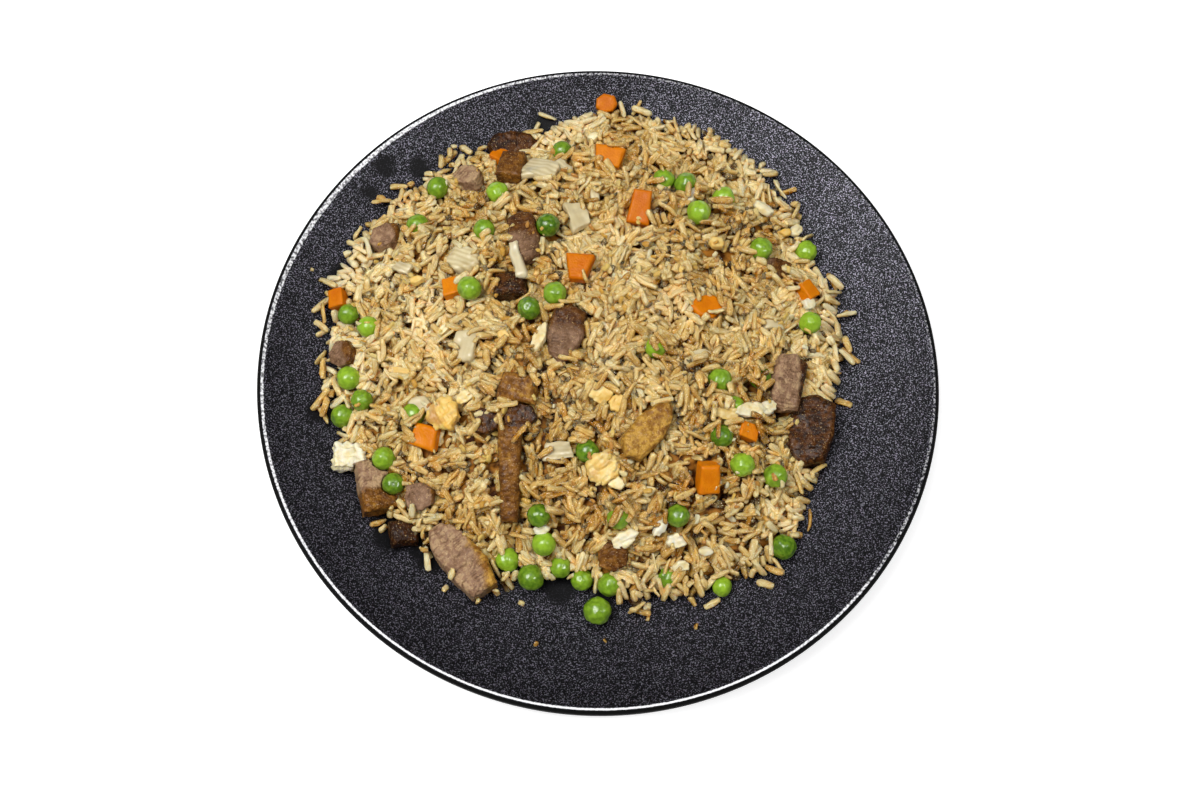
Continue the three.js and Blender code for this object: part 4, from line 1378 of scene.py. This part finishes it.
def edge_rice(ground, settings):
    """Paler grains round the foot of the mound, in small tufts that lie flat on the plate."""
    rng = np.random.default_rng(settings.seed + 1)
    grains = []
    for k in range(settings.edge_count):
        if k % TUFT == 0:
            middle = 2 * math.pi * (k + rng.random() * TUFT) / settings.edge_count
            fan = middle + rng.normal(0, 1.2)
            reach = min(rng.normal(1.0, 0.02), 1.03)
        angle = middle + rng.normal(0, 0.028)
        out = float(heap_reach(angle)) * min(reach + rng.normal(0, 0.012), 1.04)
        x = HEAP_CENTRE[0] + out * math.cos(angle)
        y = HEAP_CENTRE[1] + out * math.sin(angle)
        short = rng.random() < 0.3
        half = (rng.uniform(2.6, 4.6) if short else rng.normal(settings.grain_length, 0.8)) / 2
        radius = rng.normal(settings.grain_width, 0.15) / 2
        heading = fan + rng.normal(0, 0.45)
        level, slope, cover = ground.rest(x, y, heading, half, radius)
        steep = abs(slope) > EDGE_SLOPE or level > plate_top(x, y) + EDGE_RISE
        if cover > 0.1 or steep or math.hypot(x, y) > LIP_RADIUS - LIP_EASE:
            continue
        grain = Grain(x, y, level, heading, float(slope), half, radius)
        ground.stamp(grain)
        grains.append(grain._replace(
            z=level + 0.03, tone=0.7 * rng.random(), roll=rng.uniform(0, 6.28),
        ))
    return grains


def crumb_rice(ground, settings):
    """The listed crumbs and grains on the bare plate."""
    rng = np.random.default_rng(settings.seed + 2)
    grains = []
    for x, y, length, golden in CRUMBS:
        heading = rng.uniform(0, 2 * math.pi)
        radius = min(settings.grain_width / 2, length * 0.36)
        level, slope, _ = ground.rest(x, y, heading, length / 2, radius)
        grains.append(Grain(
            x, y, level + 0.03, heading, slope, length / 2, radius, golden, rng.uniform(0, 6),
        ))
    return grains


def loose_crumbs(ground, settings):
    """Small crumbs of egg caught between the grains."""
    rng = np.random.default_rng(settings.seed + 3)
    rows, columns = np.nonzero((ground.share < 0.9) & ~ground.shown)
    picks = rng.permutation(len(rows))[:settings.crumb_count]
    points = np.column_stack([columns[picks], rows[picks]]) * GRID_CELL
    kept = picks[rng.uniform(-0.6, 0.9, len(picks)) < noise(points, 20, seed=71)]
    grains = []
    for row, column in zip(rows[kept], columns[kept]):
        half = rng.uniform(0.6, 1.7)
        radius = half * rng.uniform(0.45, 0.75)
        z = min(ground.height[row, column] - radius * 0.2, RICE_TOP - half)
        heading, slope = rng.uniform(0, 2 * math.pi), rng.normal(0, 0.5)
        tone, roll = rng.random(), rng.uniform(0, 6)
        x, y = cell_middle(column), cell_middle(row)
        grains.append(Grain(x, y, z, heading, slope, half, radius, tone, roll))
    return grains


def rice_tree():
    """The node tree that turns points into grains of rice, each with its own turn and size."""
    if "Rice grains" in bpy.data.node_groups:
        return bpy.data.node_groups["Rice grains"]
    tree = bpy.data.node_groups.new("Rice grains", "GeometryNodeTree")
    for label, kind, value in (
        ("Geometry", "NodeSocketGeometry", None),
        ("Sides", "NodeSocketInt", 8),
        ("Rings", "NodeSocketInt", 6),
        ("Unevenness", "NodeSocketFloat", 0.5 * MM),
        ("Material", "NodeSocketMaterial", None),
    ):
        socket = tree.interface.new_socket(label, in_out="INPUT", socket_type=kind)
        if value is not None:
            socket.default_value = value
    tree.interface.new_socket("Geometry", in_out="OUTPUT", socket_type="NodeSocketGeometry")
    source = tree.nodes.new("NodeGroupInput")
    target = tree.nodes.new("NodeGroupOutput")

    def named(label, kind):
        return add_node(tree, "GeometryNodeInputNamedAttribute", data_type=kind, inputs={
            "Name": label,
        }).outputs[0]

    ball = add_node(tree, "GeometryNodeMeshUVSphere", inputs={
        "Segments": source.outputs["Sides"], "Rings": source.outputs["Rings"], "Radius": 1.0,
    })
    kinds = add_node(tree, "GeometryNodeJoinGeometry")
    for bend, taper in GRAIN_KINDS:
        grain = bent_grain(tree, ball.outputs["Mesh"], bend, taper)
        instance = add_node(tree, "GeometryNodeGeometryToInstance", inputs={0: grain})
        tree.links.new(instance.outputs[0], kinds.inputs[0])
    turn = add_node(tree, "FunctionNodeEulerToRotation", inputs={0: named("turn", "FLOAT_VECTOR")})
    placed = add_node(tree, "GeometryNodeInstanceOnPoints", inputs={
        "Points": source.outputs["Geometry"], "Instance": kinds.outputs[0], "Pick Instance": True,
        "Instance Index": named("kind", "INT"), "Rotation": turn.outputs[0],
        "Scale": named("size", "FLOAT_VECTOR"),
    })
    real = add_node(tree, "GeometryNodeRealizeInstances", inputs={0: placed.outputs[0]})
    waves = add_node(tree, "ShaderNodeTexNoise", inputs={"Scale": 1 / (1.3 * MM), "Detail": 1.0})
    centred = add_node(tree, "ShaderNodeVectorMath", operation="SUBTRACT", inputs={
        0: waves.outputs["Color"], 1: (0.5, 0.5, 0.5),
    })
    reach = add_math(tree, "MULTIPLY", source.outputs["Unevenness"], 2.0)
    offset = add_node(tree, "ShaderNodeVectorMath", operation="SCALE", inputs={
        0: centred.outputs[0], "Scale": reach,
    })
    uneven = add_node(tree, "GeometryNodeSetPosition", inputs={
        "Geometry": real.outputs[0], "Offset": offset.outputs[0],
    })
    shaded = marked_underside_shade(tree, uneven.outputs[0])
    smooth = add_node(tree, "GeometryNodeSetShadeSmooth", inputs={0: shaded})
    dressed = add_node(tree, "GeometryNodeSetMaterial", inputs={
        "Geometry": smooth.outputs[0], "Material": source.outputs["Material"],
    })
    tree.links.new(dressed.outputs[0], target.inputs[0])
    return tree


def marked_underside_shade(tree, geometry):
    """The grains with a number from 0 to 1 on each corner, for how much it faces down, which the rice
    material uses for painted shade.
    """
    facing = tree.nodes.new("GeometryNodeInputNormal").outputs[0]
    up = add_node(tree, "ShaderNodeSeparateXYZ", inputs={0: facing}).outputs[2]
    turned_down = add_math(tree, "MULTIPLY_ADD", up, -0.8, 0.7)
    share = add_math(tree, "MINIMUM", add_math(tree, "MAXIMUM", turned_down, 0.0), 1.0)
    return add_node(tree, "GeometryNodeStoreNamedAttribute", data_type="FLOAT", domain="POINT",
                    inputs={"Geometry": geometry, "Name": "under", "Value": share}).outputs[0]


# The bend and the taper of each kind of grain.
GRAIN_KINDS = ((0.0, 0.1), (0.35, -0.12), (0.7, 0.05), (-0.3, 0.18))


def bent_grain(tree, ball, bend, taper):
    """A ball made a grain: blunter than an egg, thinner to one end and bent along its length."""
    place = tree.nodes.new("GeometryNodeInputPosition").outputs[0]
    parts = add_node(tree, "ShaderNodeSeparateXYZ", inputs={0: place}).outputs
    square = add_math(tree, "MULTIPLY", parts[2], parts[2])
    round_share = add_math(tree, "MAXIMUM", add_math(tree, "SUBTRACT", 1.0, square), 0.01)
    blunt = add_math(tree, "POWER", round_share, -0.32)
    tapered = add_math(tree, "MULTIPLY_ADD", parts[2], taper, 1.0)
    width = add_math(tree, "MULTIPLY", blunt, tapered)
    lean = add_math(tree, "MULTIPLY", add_math(tree, "SUBTRACT", square, 0.35), bend)
    x = add_math(tree, "MULTIPLY_ADD", parts[0], width, lean)
    y = add_math(tree, "MULTIPLY", parts[1], width)
    moved = add_node(tree, "ShaderNodeCombineXYZ", inputs={0: x, 1: y, 2: parts[2]})
    stored = add_node(
        tree, "GeometryNodeStoreNamedAttribute", data_type="FLOAT_VECTOR", domain="POINT",
        inputs={"Geometry": ball, "Name": "own", "Value": place},
    )
    return add_node(tree, "GeometryNodeSetPosition", inputs={
        "Geometry": stored.outputs[0], "Position": moved.outputs[0],
    }).outputs[0]


def grain_turn(grain):
    """Turns a grain's own Z along its length, as Euler angles."""
    way = Vector((math.cos(grain.heading), math.sin(grain.heading), grain.slope)).normalized()
    turn = way.to_track_quat("Z", "Y") @ Quaternion((0, 0, 1), grain.roll)
    return tuple(turn.to_euler("XYZ"))


def grow_grains(name, grains, material, seed):
    """Makes one mesh of the listed grains by the node tree."""
    rng = np.random.default_rng(seed)
    mesh = bpy.data.meshes.new(name)
    mesh.from_pydata([(grain.x * MM, grain.y * MM, grain.z * MM) for grain in grains], [], [])
    thick = rng.uniform(0.5, 0.85, len(grains))
    _, _, _, _, _, halves, radii, tones, _ = np.array(grains, dtype=float).T
    marks = {
        "turn": ("FLOAT_VECTOR", "vector", np.array([grain_turn(grain) for grain in grains])),
        "size": ("FLOAT_VECTOR", "vector", np.column_stack([radii * thick, radii, halves]) * MM),
        "tone": ("FLOAT", "value", tones),
        "kind": ("INT", "value", rng.integers(len(GRAIN_KINDS), size=len(grains))),
    }
    for label, (kind, field, values) in marks.items():
        layer = mesh.attributes.new(label, kind, "POINT")
        number = np.int32 if kind == "INT" else np.float32
        layer.data.foreach_set(field, values.astype(number).ravel())
    holder = bpy.data.objects.new(name, mesh)
    bpy.context.scene.collection.objects.link(holder)
    grower = holder.modifiers.new("grains", "NODES")
    tree = rice_tree()
    grower.node_group = tree
    for socket in tree.interface.items_tree:
        if socket.name == "Material" and socket.in_out == "INPUT":
            grower[socket.identifier] = material
    depsgraph = bpy.context.evaluated_depsgraph_get()
    made = bpy.data.meshes.new_from_object(holder.evaluated_get(depsgraph))
    made.name = name
    holder.modifiers.clear()
    holder.data = made
    for label in ("turn", "size", "kind", "uv_map", "UVMap"):
        if label in made.attributes:
            made.attributes.remove(made.attributes[label])
    bpy.data.meshes.remove(mesh)
    return holder


def golden_share_and_front_shade(x, y, own):
    """How golden the rice is at a place, with each grain's own share of chance, and painted shade that
    makes it browner towards the front.
    """
    point = np.column_stack([x, y])
    patch = 0.22 * layered_noise(point, 26, seed=91, layers=2) + 0.18 * noise(point, 8, seed=95)
    right = 0.06 * np.clip((x + y) / 90, -1, 1)
    # Painted shade: browner towards the front, where the mound's face turns away from the lamps.
    front = 0.15 * smooth_step(0, 50, -y)
    return 0.28 + patch + right + front + 0.32 * (own - 0.5)


def streak_group():
    """Streaks along a grain, from its own coordinates, each grain's own by its tone."""
    if "Grain streaks" in bpy.data.node_groups:
        return bpy.data.node_groups["Grain streaks"]
    group, source, target = new_group(
        "Grain streaks",
        [("Tone", "NodeSocketFloat", 0.5)],
        [("Streak", "NodeSocketFloat"), ("Tip", "NodeSocketFloat")],
    )
    own = add_node(group, "ShaderNodeAttribute", attribute_name="own").outputs["Vector"]
    squeezed = add_node(group, "ShaderNodeVectorMath", operation="MULTIPLY", inputs={
        0: own, 1: (1.5, 1.5, 0.3),
    })
    apart = add_math(group, "MULTIPLY", source.outputs["Tone"], 97.0)
    shifted = add_node(group, "ShaderNodeVectorMath", operation="ADD", inputs={
        0: squeezed.outputs[0], 1: apart,
    })
    waves = add_node(group, "ShaderNodeTexNoise", inputs={
        "Vector": shifted.outputs[0], "Scale": 2.2, "Detail": 2.0,
    })
    group.links.new(waves.outputs["Fac"], target.inputs["Streak"])
    along = add_node(group, "ShaderNodeSeparateXYZ", inputs={0: own}).outputs[2]
    tip = add_math(group, "POWER", add_math(group, "ABSOLUTE", along), 3.0)
    group.links.new(tip, target.inputs["Tip"])
    return group


def rice_material(name, settings, shift):
    """Cooked grains: pale to golden to browned, glossy, with light soaking in; painted shade darkens
    their undersides and the deeper grains, and pale flecks are a painted highlight.
    """
    material, tree, shader = new_material(name)
    own_tone = add_attribute(tree, "tone")
    streaks = add_group(tree, streak_group())
    tree.links.new(own_tone, streaks.inputs["Tone"])
    streak = add_math(tree, "SUBTRACT", streaks.outputs["Streak"], 0.5)
    tone = add_math(tree, "MULTIPLY_ADD", mottle(tree, 3.0), 0.2, own_tone)
    tone = add_math(tree, "MULTIPLY_ADD", streak, 0.8, tone)
    # Painted shade: darker on the sides of the grains that face down.
    tone = add_math(tree, "MULTIPLY_ADD", add_attribute(tree, "under"), 0.5, tone)
    tone = add_math(tree, "MULTIPLY", add_math(tree, "ADD", tone, shift), 0.8)
    colour = add_ramp(tree, tone, [
        (0.0, linear(244, 230, 186)), (0.12, solid(settings.pale)), (0.42, solid(settings.golden)),
        (0.72, solid(settings.browned)), (1.0, solid(settings.shadow)),
    ])
    tip = add_math(tree, "MULTIPLY", streaks.outputs["Tip"], 0.3)
    colour = add_mix(tree, tip, colour, solid(settings.pale))
    # Painted highlight: small pale flecks on the grains.
    wet = add_math(tree, "MULTIPLY", mottle(tree, 0.5, 0.6, 0.68), 0.75)
    colour = add_mix(tree, wet, colour, linear(255, 248, 222))
    tree.links.new(colour, shader.inputs["Base Color"])
    set_inputs(shader, {
        "Roughness": 0.1, "Specular IOR Level": 0.8, "Specular Tint": (1.0, 0.7, 0.3, 1.0),
    })
    set_flesh(shader, 0.8, 2.4, 1.4, 0.5)
    shader.subsurface_method = "BURLEY"
    add_bump(tree, shader, streaks.outputs["Streak"], 1.0)
    return material


def crumb_material():
    """Bits of egg, from pale cream to deep yellow and browned."""
    material, tree, shader = new_material("Egg crumbs")
    colour = add_ramp(tree, add_attribute(tree, "tone"), [
        (0.0, linear(244, 236, 196)), (0.35, linear(238, 206, 110)),
        (0.75, linear(226, 172, 66)), (1.0, linear(196, 134, 56)),
    ])
    tree.links.new(colour, shader.inputs["Base Color"])
    set_inputs(shader, {"Roughness": 0.35, "Coat Weight": 0.5, "Coat Roughness": 0.1})
    set_flesh(shader, 0.4, 1.2, 0.9, 0.4)
    shader.subsurface_method = "BURLEY"
    add_bump(tree, shader, mottle(tree, 0.5), 0.3)
    return material


def core_shape():
    """The pressed middle of the mound, under the loose grains, its foot just off the plate."""
    angles = np.linspace(0, 2 * math.pi, CORE_SIDES, endpoint=False)
    reach = heap_reach(angles)
    rings = []
    for share in np.linspace(CORE_EDGE, 0, CORE_RINGS, endpoint=False):
        x = HEAP_CENTRE[0] + share * reach * np.cos(angles)
        y = HEAP_CENTRE[1] + share * reach * np.sin(angles)
        low = plate_top(x, y) + CORE_GAP
        top = heap_top(x, y) - CORE_DEPTH - HOLE_DEPTH * hollow_at(x, y)
        top = np.maximum(top, low + CORE_EDGE_RISE)
        if not rings:
            rings.append(np.column_stack([x, y, low]))
        rings.append(np.column_stack([x, y, top]))
    x, y = HEAP_CENTRE
    middles = [(x, y, float(heap_top(x, y)) - CORE_DEPTH), (x, y, FLOOR_HEIGHT + CORE_GAP)]
    corners = np.vstack(rings + [middles])
    last = len(rings) - 1
    peak, pit = len(corners) - 2, len(corners) - 1
    faces = []
    for j in range(CORE_SIDES):
        after = (j + 1) % CORE_SIDES
        for i in range(last):
            start = i * CORE_SIDES
            above = start + CORE_SIDES
            faces.append((start + j, start + after, above + after, above + j))
        faces.append((last * CORE_SIDES + j, last * CORE_SIDES + after, peak))
        faces.append((pit, after, j))
    shape = Shape(corners, faces)
    upper = slice(CORE_SIDES, peak + 1)
    shape.corners[upper, 2] += CORE_BUMPS * layered_noise(shape.corners[upper], 3, seed=15)
    return shape.mark(hole=hollow_at(shape.corners[:, 0], shape.corners[:, 1]))


def core_material(settings):
    """Rice in shadow, nearly black in the gaps."""
    material, tree, shader = new_material("Rice in shadow")
    colour = add_mix(tree, mottle(tree, 3.0), solid(settings.shadow), linear(170, 112, 40))
    # Painted shadow: nearly black in the gaps.
    colour = add_mix(tree, add_attribute(tree, "hole"), colour, linear(34, 16, 12))
    tree.links.new(colour, shader.inputs["Base Color"])
    set_inputs(shader, {"Roughness": 0.5, "Specular IOR Level": 0.1})
    set_flesh(shader, 0.3, 2.0, 1.2, 0.5)
    add_cells(tree, shader, 2.2, 0.6)
    return material


def make_core(settings):
    return finish_piece("rice_core", core_shape(), core_material(settings), ["rice_heap"])


def make_rice(settings):
    """Lays the rice round the toppings, and makes one piece of each shade of it."""
    objects = bpy.data.objects
    ground = Ground([(objects[name], rim) for name, rim in COVERED_RIMS.items() if name in objects])
    mound = lay_rice(ground, settings) + rim_rice(ground, settings)
    loose = edge_rice(ground, settings) + crumb_rice(ground, settings)
    mound = [grain for grain in mound if in_sight(ground, grain)]
    x, y, z, _, _, _, radius, own, _ = np.array(mound, dtype=float).T
    sunk = ground.height[grid_place(y), grid_place(x)] - (z + radius)
    # Painted shade: grains that lie deeper under those around them are made darker.
    tones = golden_share_and_front_shade(x, y, own) + (
        1.2 * smooth_step(0.8, 3.4, sunk) - 0.22 * smooth_step(0.8, 0.96, heap_share(x, y))
    )
    mound = [grain._replace(tone=float(tone)) for grain, tone in zip(mound, tones)]
    cooked = rice_material("Cooked rice", settings, 0.0)
    for seed, (name, (low, high)) in enumerate(RICE_PIECES.items()):
        chosen = [grain for grain in mound if low <= grain.tone < high]
        ride_piece(grow_grains(name, chosen, cooked, seed))
    clear = rice_material("Clear rice", settings, -0.1)
    ride_piece(grow_grains("rice_edge", loose, clear, 9))
    crumbs = loose_crumbs(ground, settings)
    ride_piece(grow_grains("egg_crumbs", crumbs, crumb_material(), 21))


# ---- the stage ----

TARGET = Vector((0.880, -11.136, 16.0)) * MM  # what the camera looks at
LAMP_TARGET = Vector((0, 0, 0.02))
SENSOR_WIDTH = 36
FLOOR_REACH = 4.0
# Each lamp's direction, its distance and size in metres, and the setting of its power.
LAMPS = {
    "key": ((-0.4, -0.07, 0.91), 1.1, 0.6, "key_power"),
    "fill": ((0.48, -0.13, 0.87), 1.1, 0.22, "fill_power"),
    "overhead": ((0, 0.2, 1), 1.2, 0.5, "overhead_power"),
}


def aim(obj, target, roll=0.0):
    """Points a camera or a lamp at a place, turned about its own line of sight."""
    way = (target - obj.location).normalized()
    obj.rotation_mode = "QUATERNION"
    obj.rotation_quaternion = way.to_track_quat("-Z", "Y") @ Quaternion((0, 0, 1), roll)


def make_camera(settings):
    """The camera, on the near side of the plate and high above it."""
    data = bpy.data.cameras.new("camera")
    data.sensor_width = SENSOR_WIDTH
    data.lens = settings.lens
    camera = bpy.data.objects.new("camera", data)
    bpy.context.scene.collection.objects.link(camera)
    back = Vector((0, -math.cos(settings.elevation), math.sin(settings.elevation)))
    camera.location = TARGET + back * settings.distance
    aim(camera, TARGET, settings.roll)
    bpy.context.scene.camera = camera


def make_lamp(name, way, distance, size, power):
    """A round soft lamp that shines on the dish."""
    data = bpy.data.lights.new(name, "AREA")
    data.shape = "DISK"
    data.size = size
    data.energy = power
    lamp = bpy.data.objects.new(name, data)
    bpy.context.scene.collection.objects.link(lamp)
    lamp.location = Vector(way).normalized() * distance
    aim(lamp, LAMP_TARGET)


def make_stage(settings):
    scene = bpy.context.scene
    scene.view_settings.view_transform = "Standard"
    world = bpy.data.worlds.new("studio")
    scene.world = world
    world.use_nodes = True
    background = world.node_tree.nodes["Background"]
    set_inputs(background, {"Color": (1, 1, 1, 1), "Strength": settings.world_strength})
    mesh = bpy.data.meshes.new("floor")
    signs = ((-1, -1), (1, -1), (1, 1), (-1, 1))
    mesh.from_pydata([(x * FLOOR_REACH, y * FLOOR_REACH, 0) for x, y in signs], [], [(0, 1, 2, 3)])
    floor = bpy.data.objects.new("floor", mesh)
    scene.collection.objects.link(floor)
    material, _, shader = new_material("Pale floor")
    set_inputs(shader, {
        "Base Color": (0.8, 0.8, 0.8, 1), "Roughness": 0.8, "Emission Color": (1, 1, 1, 1),
        "Emission Strength": 0.62,
    })
    mesh.materials.append(material)
    for name, (way, distance, size, power) in LAMPS.items():
        make_lamp(name, way, distance, size, getattr(settings, power))
    make_camera(settings)


# ---- settings ----


def colour_property(name, description, red, green, blue):
    return FloatVectorProperty(
        name=name, description=description, default=linear(red, green, blue)[:3],
        subtype="COLOR", size=3, min=0.0, max=1.0,
    )


class PlateSettings(bpy.types.PropertyGroup):
    """The plate's glaze."""

    glaze_colour: colour_property("Glaze", "Colour of the black glaze", 2, 2, 4)
    speckle_colour: colour_property("Speckle colour", "Colour of the speckle", 140, 140, 150)
    speckle_size: FloatProperty(
        name="Speckle", description="Size of the glaze's speckle, in mm", default=0.46, min=0.1,
    )
    roughness: FloatProperty(
        name="Roughness", description="Roughness of the dry glaze", default=0.44, min=0, max=1,
        subtype="FACTOR",
    )


class ToppingSettings(bpy.types.PropertyGroup):
    """Colours of what lies in the rice."""

    pea_bright: colour_property("Pea", "Sunlit green of a pea", 150, 188, 46)
    pea_deep: colour_property("Deep pea", "Darkest green of a pea", 58, 98, 8)
    carrot_colour: colour_property("Carrot", "Orange of the carrot", 222, 130, 4)


class RiceSettings(bpy.types.PropertyGroup):
    """The grains and how they are laid."""

    grain_length: FloatProperty(
        name="Length", description="Length of a whole grain, in mm", default=7.6, min=3,
    )
    grain_width: FloatProperty(
        name="Width", description="Width of a grain, in mm", default=2.5, min=1,
    )
    grain_count: IntProperty(
        name="Grains", description="Most grains that are tried", default=24000, min=100,
    )
    edge_count: IntProperty(
        name="Edge grains", description="Most grains that are tried round the mound's foot",
        default=460, min=0,
    )
    rim_count: IntProperty(
        name="Rim grains", description="Most grains that are tried over the toppings' rims",
        default=420, min=0,
    )
    crumb_count: IntProperty(name="Crumbs", description="Most crumbs of egg", default=900, min=0)
    broken_share: FloatProperty(
        name="Broken", description="Share of broken grains", default=0.22, min=0, max=1,
        subtype="FACTOR",
    )
    fill_gap: FloatProperty(
        name="Gap", description="How far the rice may stay below the mound's face, in mm",
        default=0.35, min=0,
    )
    topping_care: FloatProperty(
        name="Care", description="How seldom a grain lies over a topping", default=0.96, min=0,
        max=1, subtype="FACTOR",
    )
    seed: IntProperty(name="Seed", description="Seed of the random numbers", default=12)
    pale: colour_property("Pale", "Colour of the palest grains", 238, 219, 164)
    golden: colour_property("Golden", "Colour of most grains", 221, 182, 104)
    # Painted shade on deeper and downward-facing grains also moves them towards this colour and the
    # shadow colour.
    browned: colour_property("Browned", "Colour of grains that took most sauce", 180, 118, 28)
    shadow: colour_property("Shadow", "Colour of the rice under the loose grains", 58, 26, 3)


class StageSettings(bpy.types.PropertyGroup):
    """The camera and the lights."""

    lens: FloatProperty(name="Lens", description="Focal length", default=40.04, unit="CAMERA")
    distance: FloatProperty(
        name="Distance", description="Camera from its target", default=0.47, unit="LENGTH",
    )
    elevation: FloatProperty(
        name="Elevation", description="Camera above the horizon", default=math.radians(71.578),
        subtype="ANGLE",
    )
    roll: FloatProperty(
        name="Roll", description="Camera about its line of sight", default=math.radians(3.889),
        subtype="ANGLE",
    )
    world_strength: FloatProperty(
        name="World", description="Light from all round", default=0.08, min=0,
    )
    key_power: FloatProperty(
        name="Key", description="Power of the soft key light", default=10.0, unit="POWER",
    )
    fill_power: FloatProperty(
        name="Fill", description="Power of the small light", default=3.1, unit="POWER",
    )
    overhead_power: FloatProperty(
        name="Overhead", description="Power of the wide light above", default=1.5, unit="POWER",
    )


GROUPS = {
    "rice_plate": PlateSettings,
    "rice_toppings": ToppingSettings,
    "rice_grains": RiceSettings,
    "rice_stage": StageSettings,
}

# ---- operators ----


class FRIEDRICE_OT_stage(bpy.types.Operator):
    """Set up the pale floor, the soft lights and the camera"""

    bl_idname = "friedrice.stage"
    bl_label = "Stage"

    def execute(self, context):
        make_stage(context.scene.rice_stage)
        return {"FINISHED"}


class FRIEDRICE_OT_plate(bpy.types.Operator):
    """Make the speckled black plate"""

    bl_idname = "friedrice.plate"
    bl_label = "Plate"

    def execute(self, context):
        make_plate(context.scene.rice_plate)
        return {"FINISHED"}


class FRIEDRICE_OT_peas(bpy.types.Operator):
    """Make the peas"""

    bl_idname = "friedrice.peas"
    bl_label = "Peas"

    def execute(self, context):
        make_peas(context.scene.rice_toppings)
        return {"FINISHED"}


class FRIEDRICE_OT_carrots(bpy.types.Operator):
    """Make the diced carrot"""

    bl_idname = "friedrice.carrots"
    bl_label = "Carrot"

    def execute(self, context):
        make_carrots(context.scene.rice_toppings)
        return {"FINISHED"}


class FRIEDRICE_OT_pork(bpy.types.Operator):
    """Make the roast pork"""

    bl_idname = "friedrice.pork"
    bl_label = "Pork"

    def execute(self, context):
        make_pork()
        return {"FINISHED"}


class FRIEDRICE_OT_egg(bpy.types.Operator):
    """Make the scrambled egg"""

    bl_idname = "friedrice.egg"
    bl_label = "Egg"

    def execute(self, context):
        make_egg()
        return {"FINISHED"}


class FRIEDRICE_OT_onion(bpy.types.Operator):
    """Make the onion"""

    bl_idname = "friedrice.onion"
    bl_label = "Onion"

    def execute(self, context):
        make_onion()
        return {"FINISHED"}


class FRIEDRICE_OT_core(bpy.types.Operator):
    """Make the pressed middle of the mound"""

    bl_idname = "friedrice.core"
    bl_label = "Core of the mound"

    def execute(self, context):
        make_core(context.scene.rice_grains)
        return {"FINISHED"}


class FRIEDRICE_OT_rice(bpy.types.Operator):
    """Lay the grains of rice over the core and round the toppings"""

    bl_idname = "friedrice.rice"
    bl_label = "Rice"

    def execute(self, context):
        make_rice(context.scene.rice_grains)
        return {"FINISHED"}


OPERATORS = (
    FRIEDRICE_OT_stage, FRIEDRICE_OT_plate, FRIEDRICE_OT_peas, FRIEDRICE_OT_carrots,
    FRIEDRICE_OT_pork, FRIEDRICE_OT_egg, FRIEDRICE_OT_onion, FRIEDRICE_OT_core, FRIEDRICE_OT_rice,
)


class FRIEDRICE_PT_panel(bpy.types.Panel):
    """Lists the pieces of the dish and their settings"""

    bl_label = "Fried rice"
    bl_space_type = "VIEW_3D"
    bl_region_type = "UI"
    bl_category = "Fried rice"

    def draw(self, context):
        for name, group in GROUPS.items():
            box = self.layout.box()
            for field in group.__annotations__:
                box.prop(getattr(context.scene, name), field)
        for operator in OPERATORS:
            self.layout.operator(operator.bl_idname)


def register():
    for cls in (*GROUPS.values(), *OPERATORS, FRIEDRICE_PT_panel):
        bpy.utils.register_class(cls)
    for name, group in GROUPS.items():
        setattr(bpy.types.Scene, name, PointerProperty(type=group))


def unregister():
    for name in GROUPS:
        delattr(bpy.types.Scene, name)
    for cls in (FRIEDRICE_PT_panel, *reversed(OPERATORS), *reversed(list(GROUPS.values()))):
        bpy.utils.unregister_class(cls)


def main():
    """Makes every piece in order."""
    register()
    for operator in OPERATORS:
        family, name = operator.bl_idname.split(".")
        getattr(getattr(bpy.ops, family), name)()


if __name__ == "__main__":
    main()
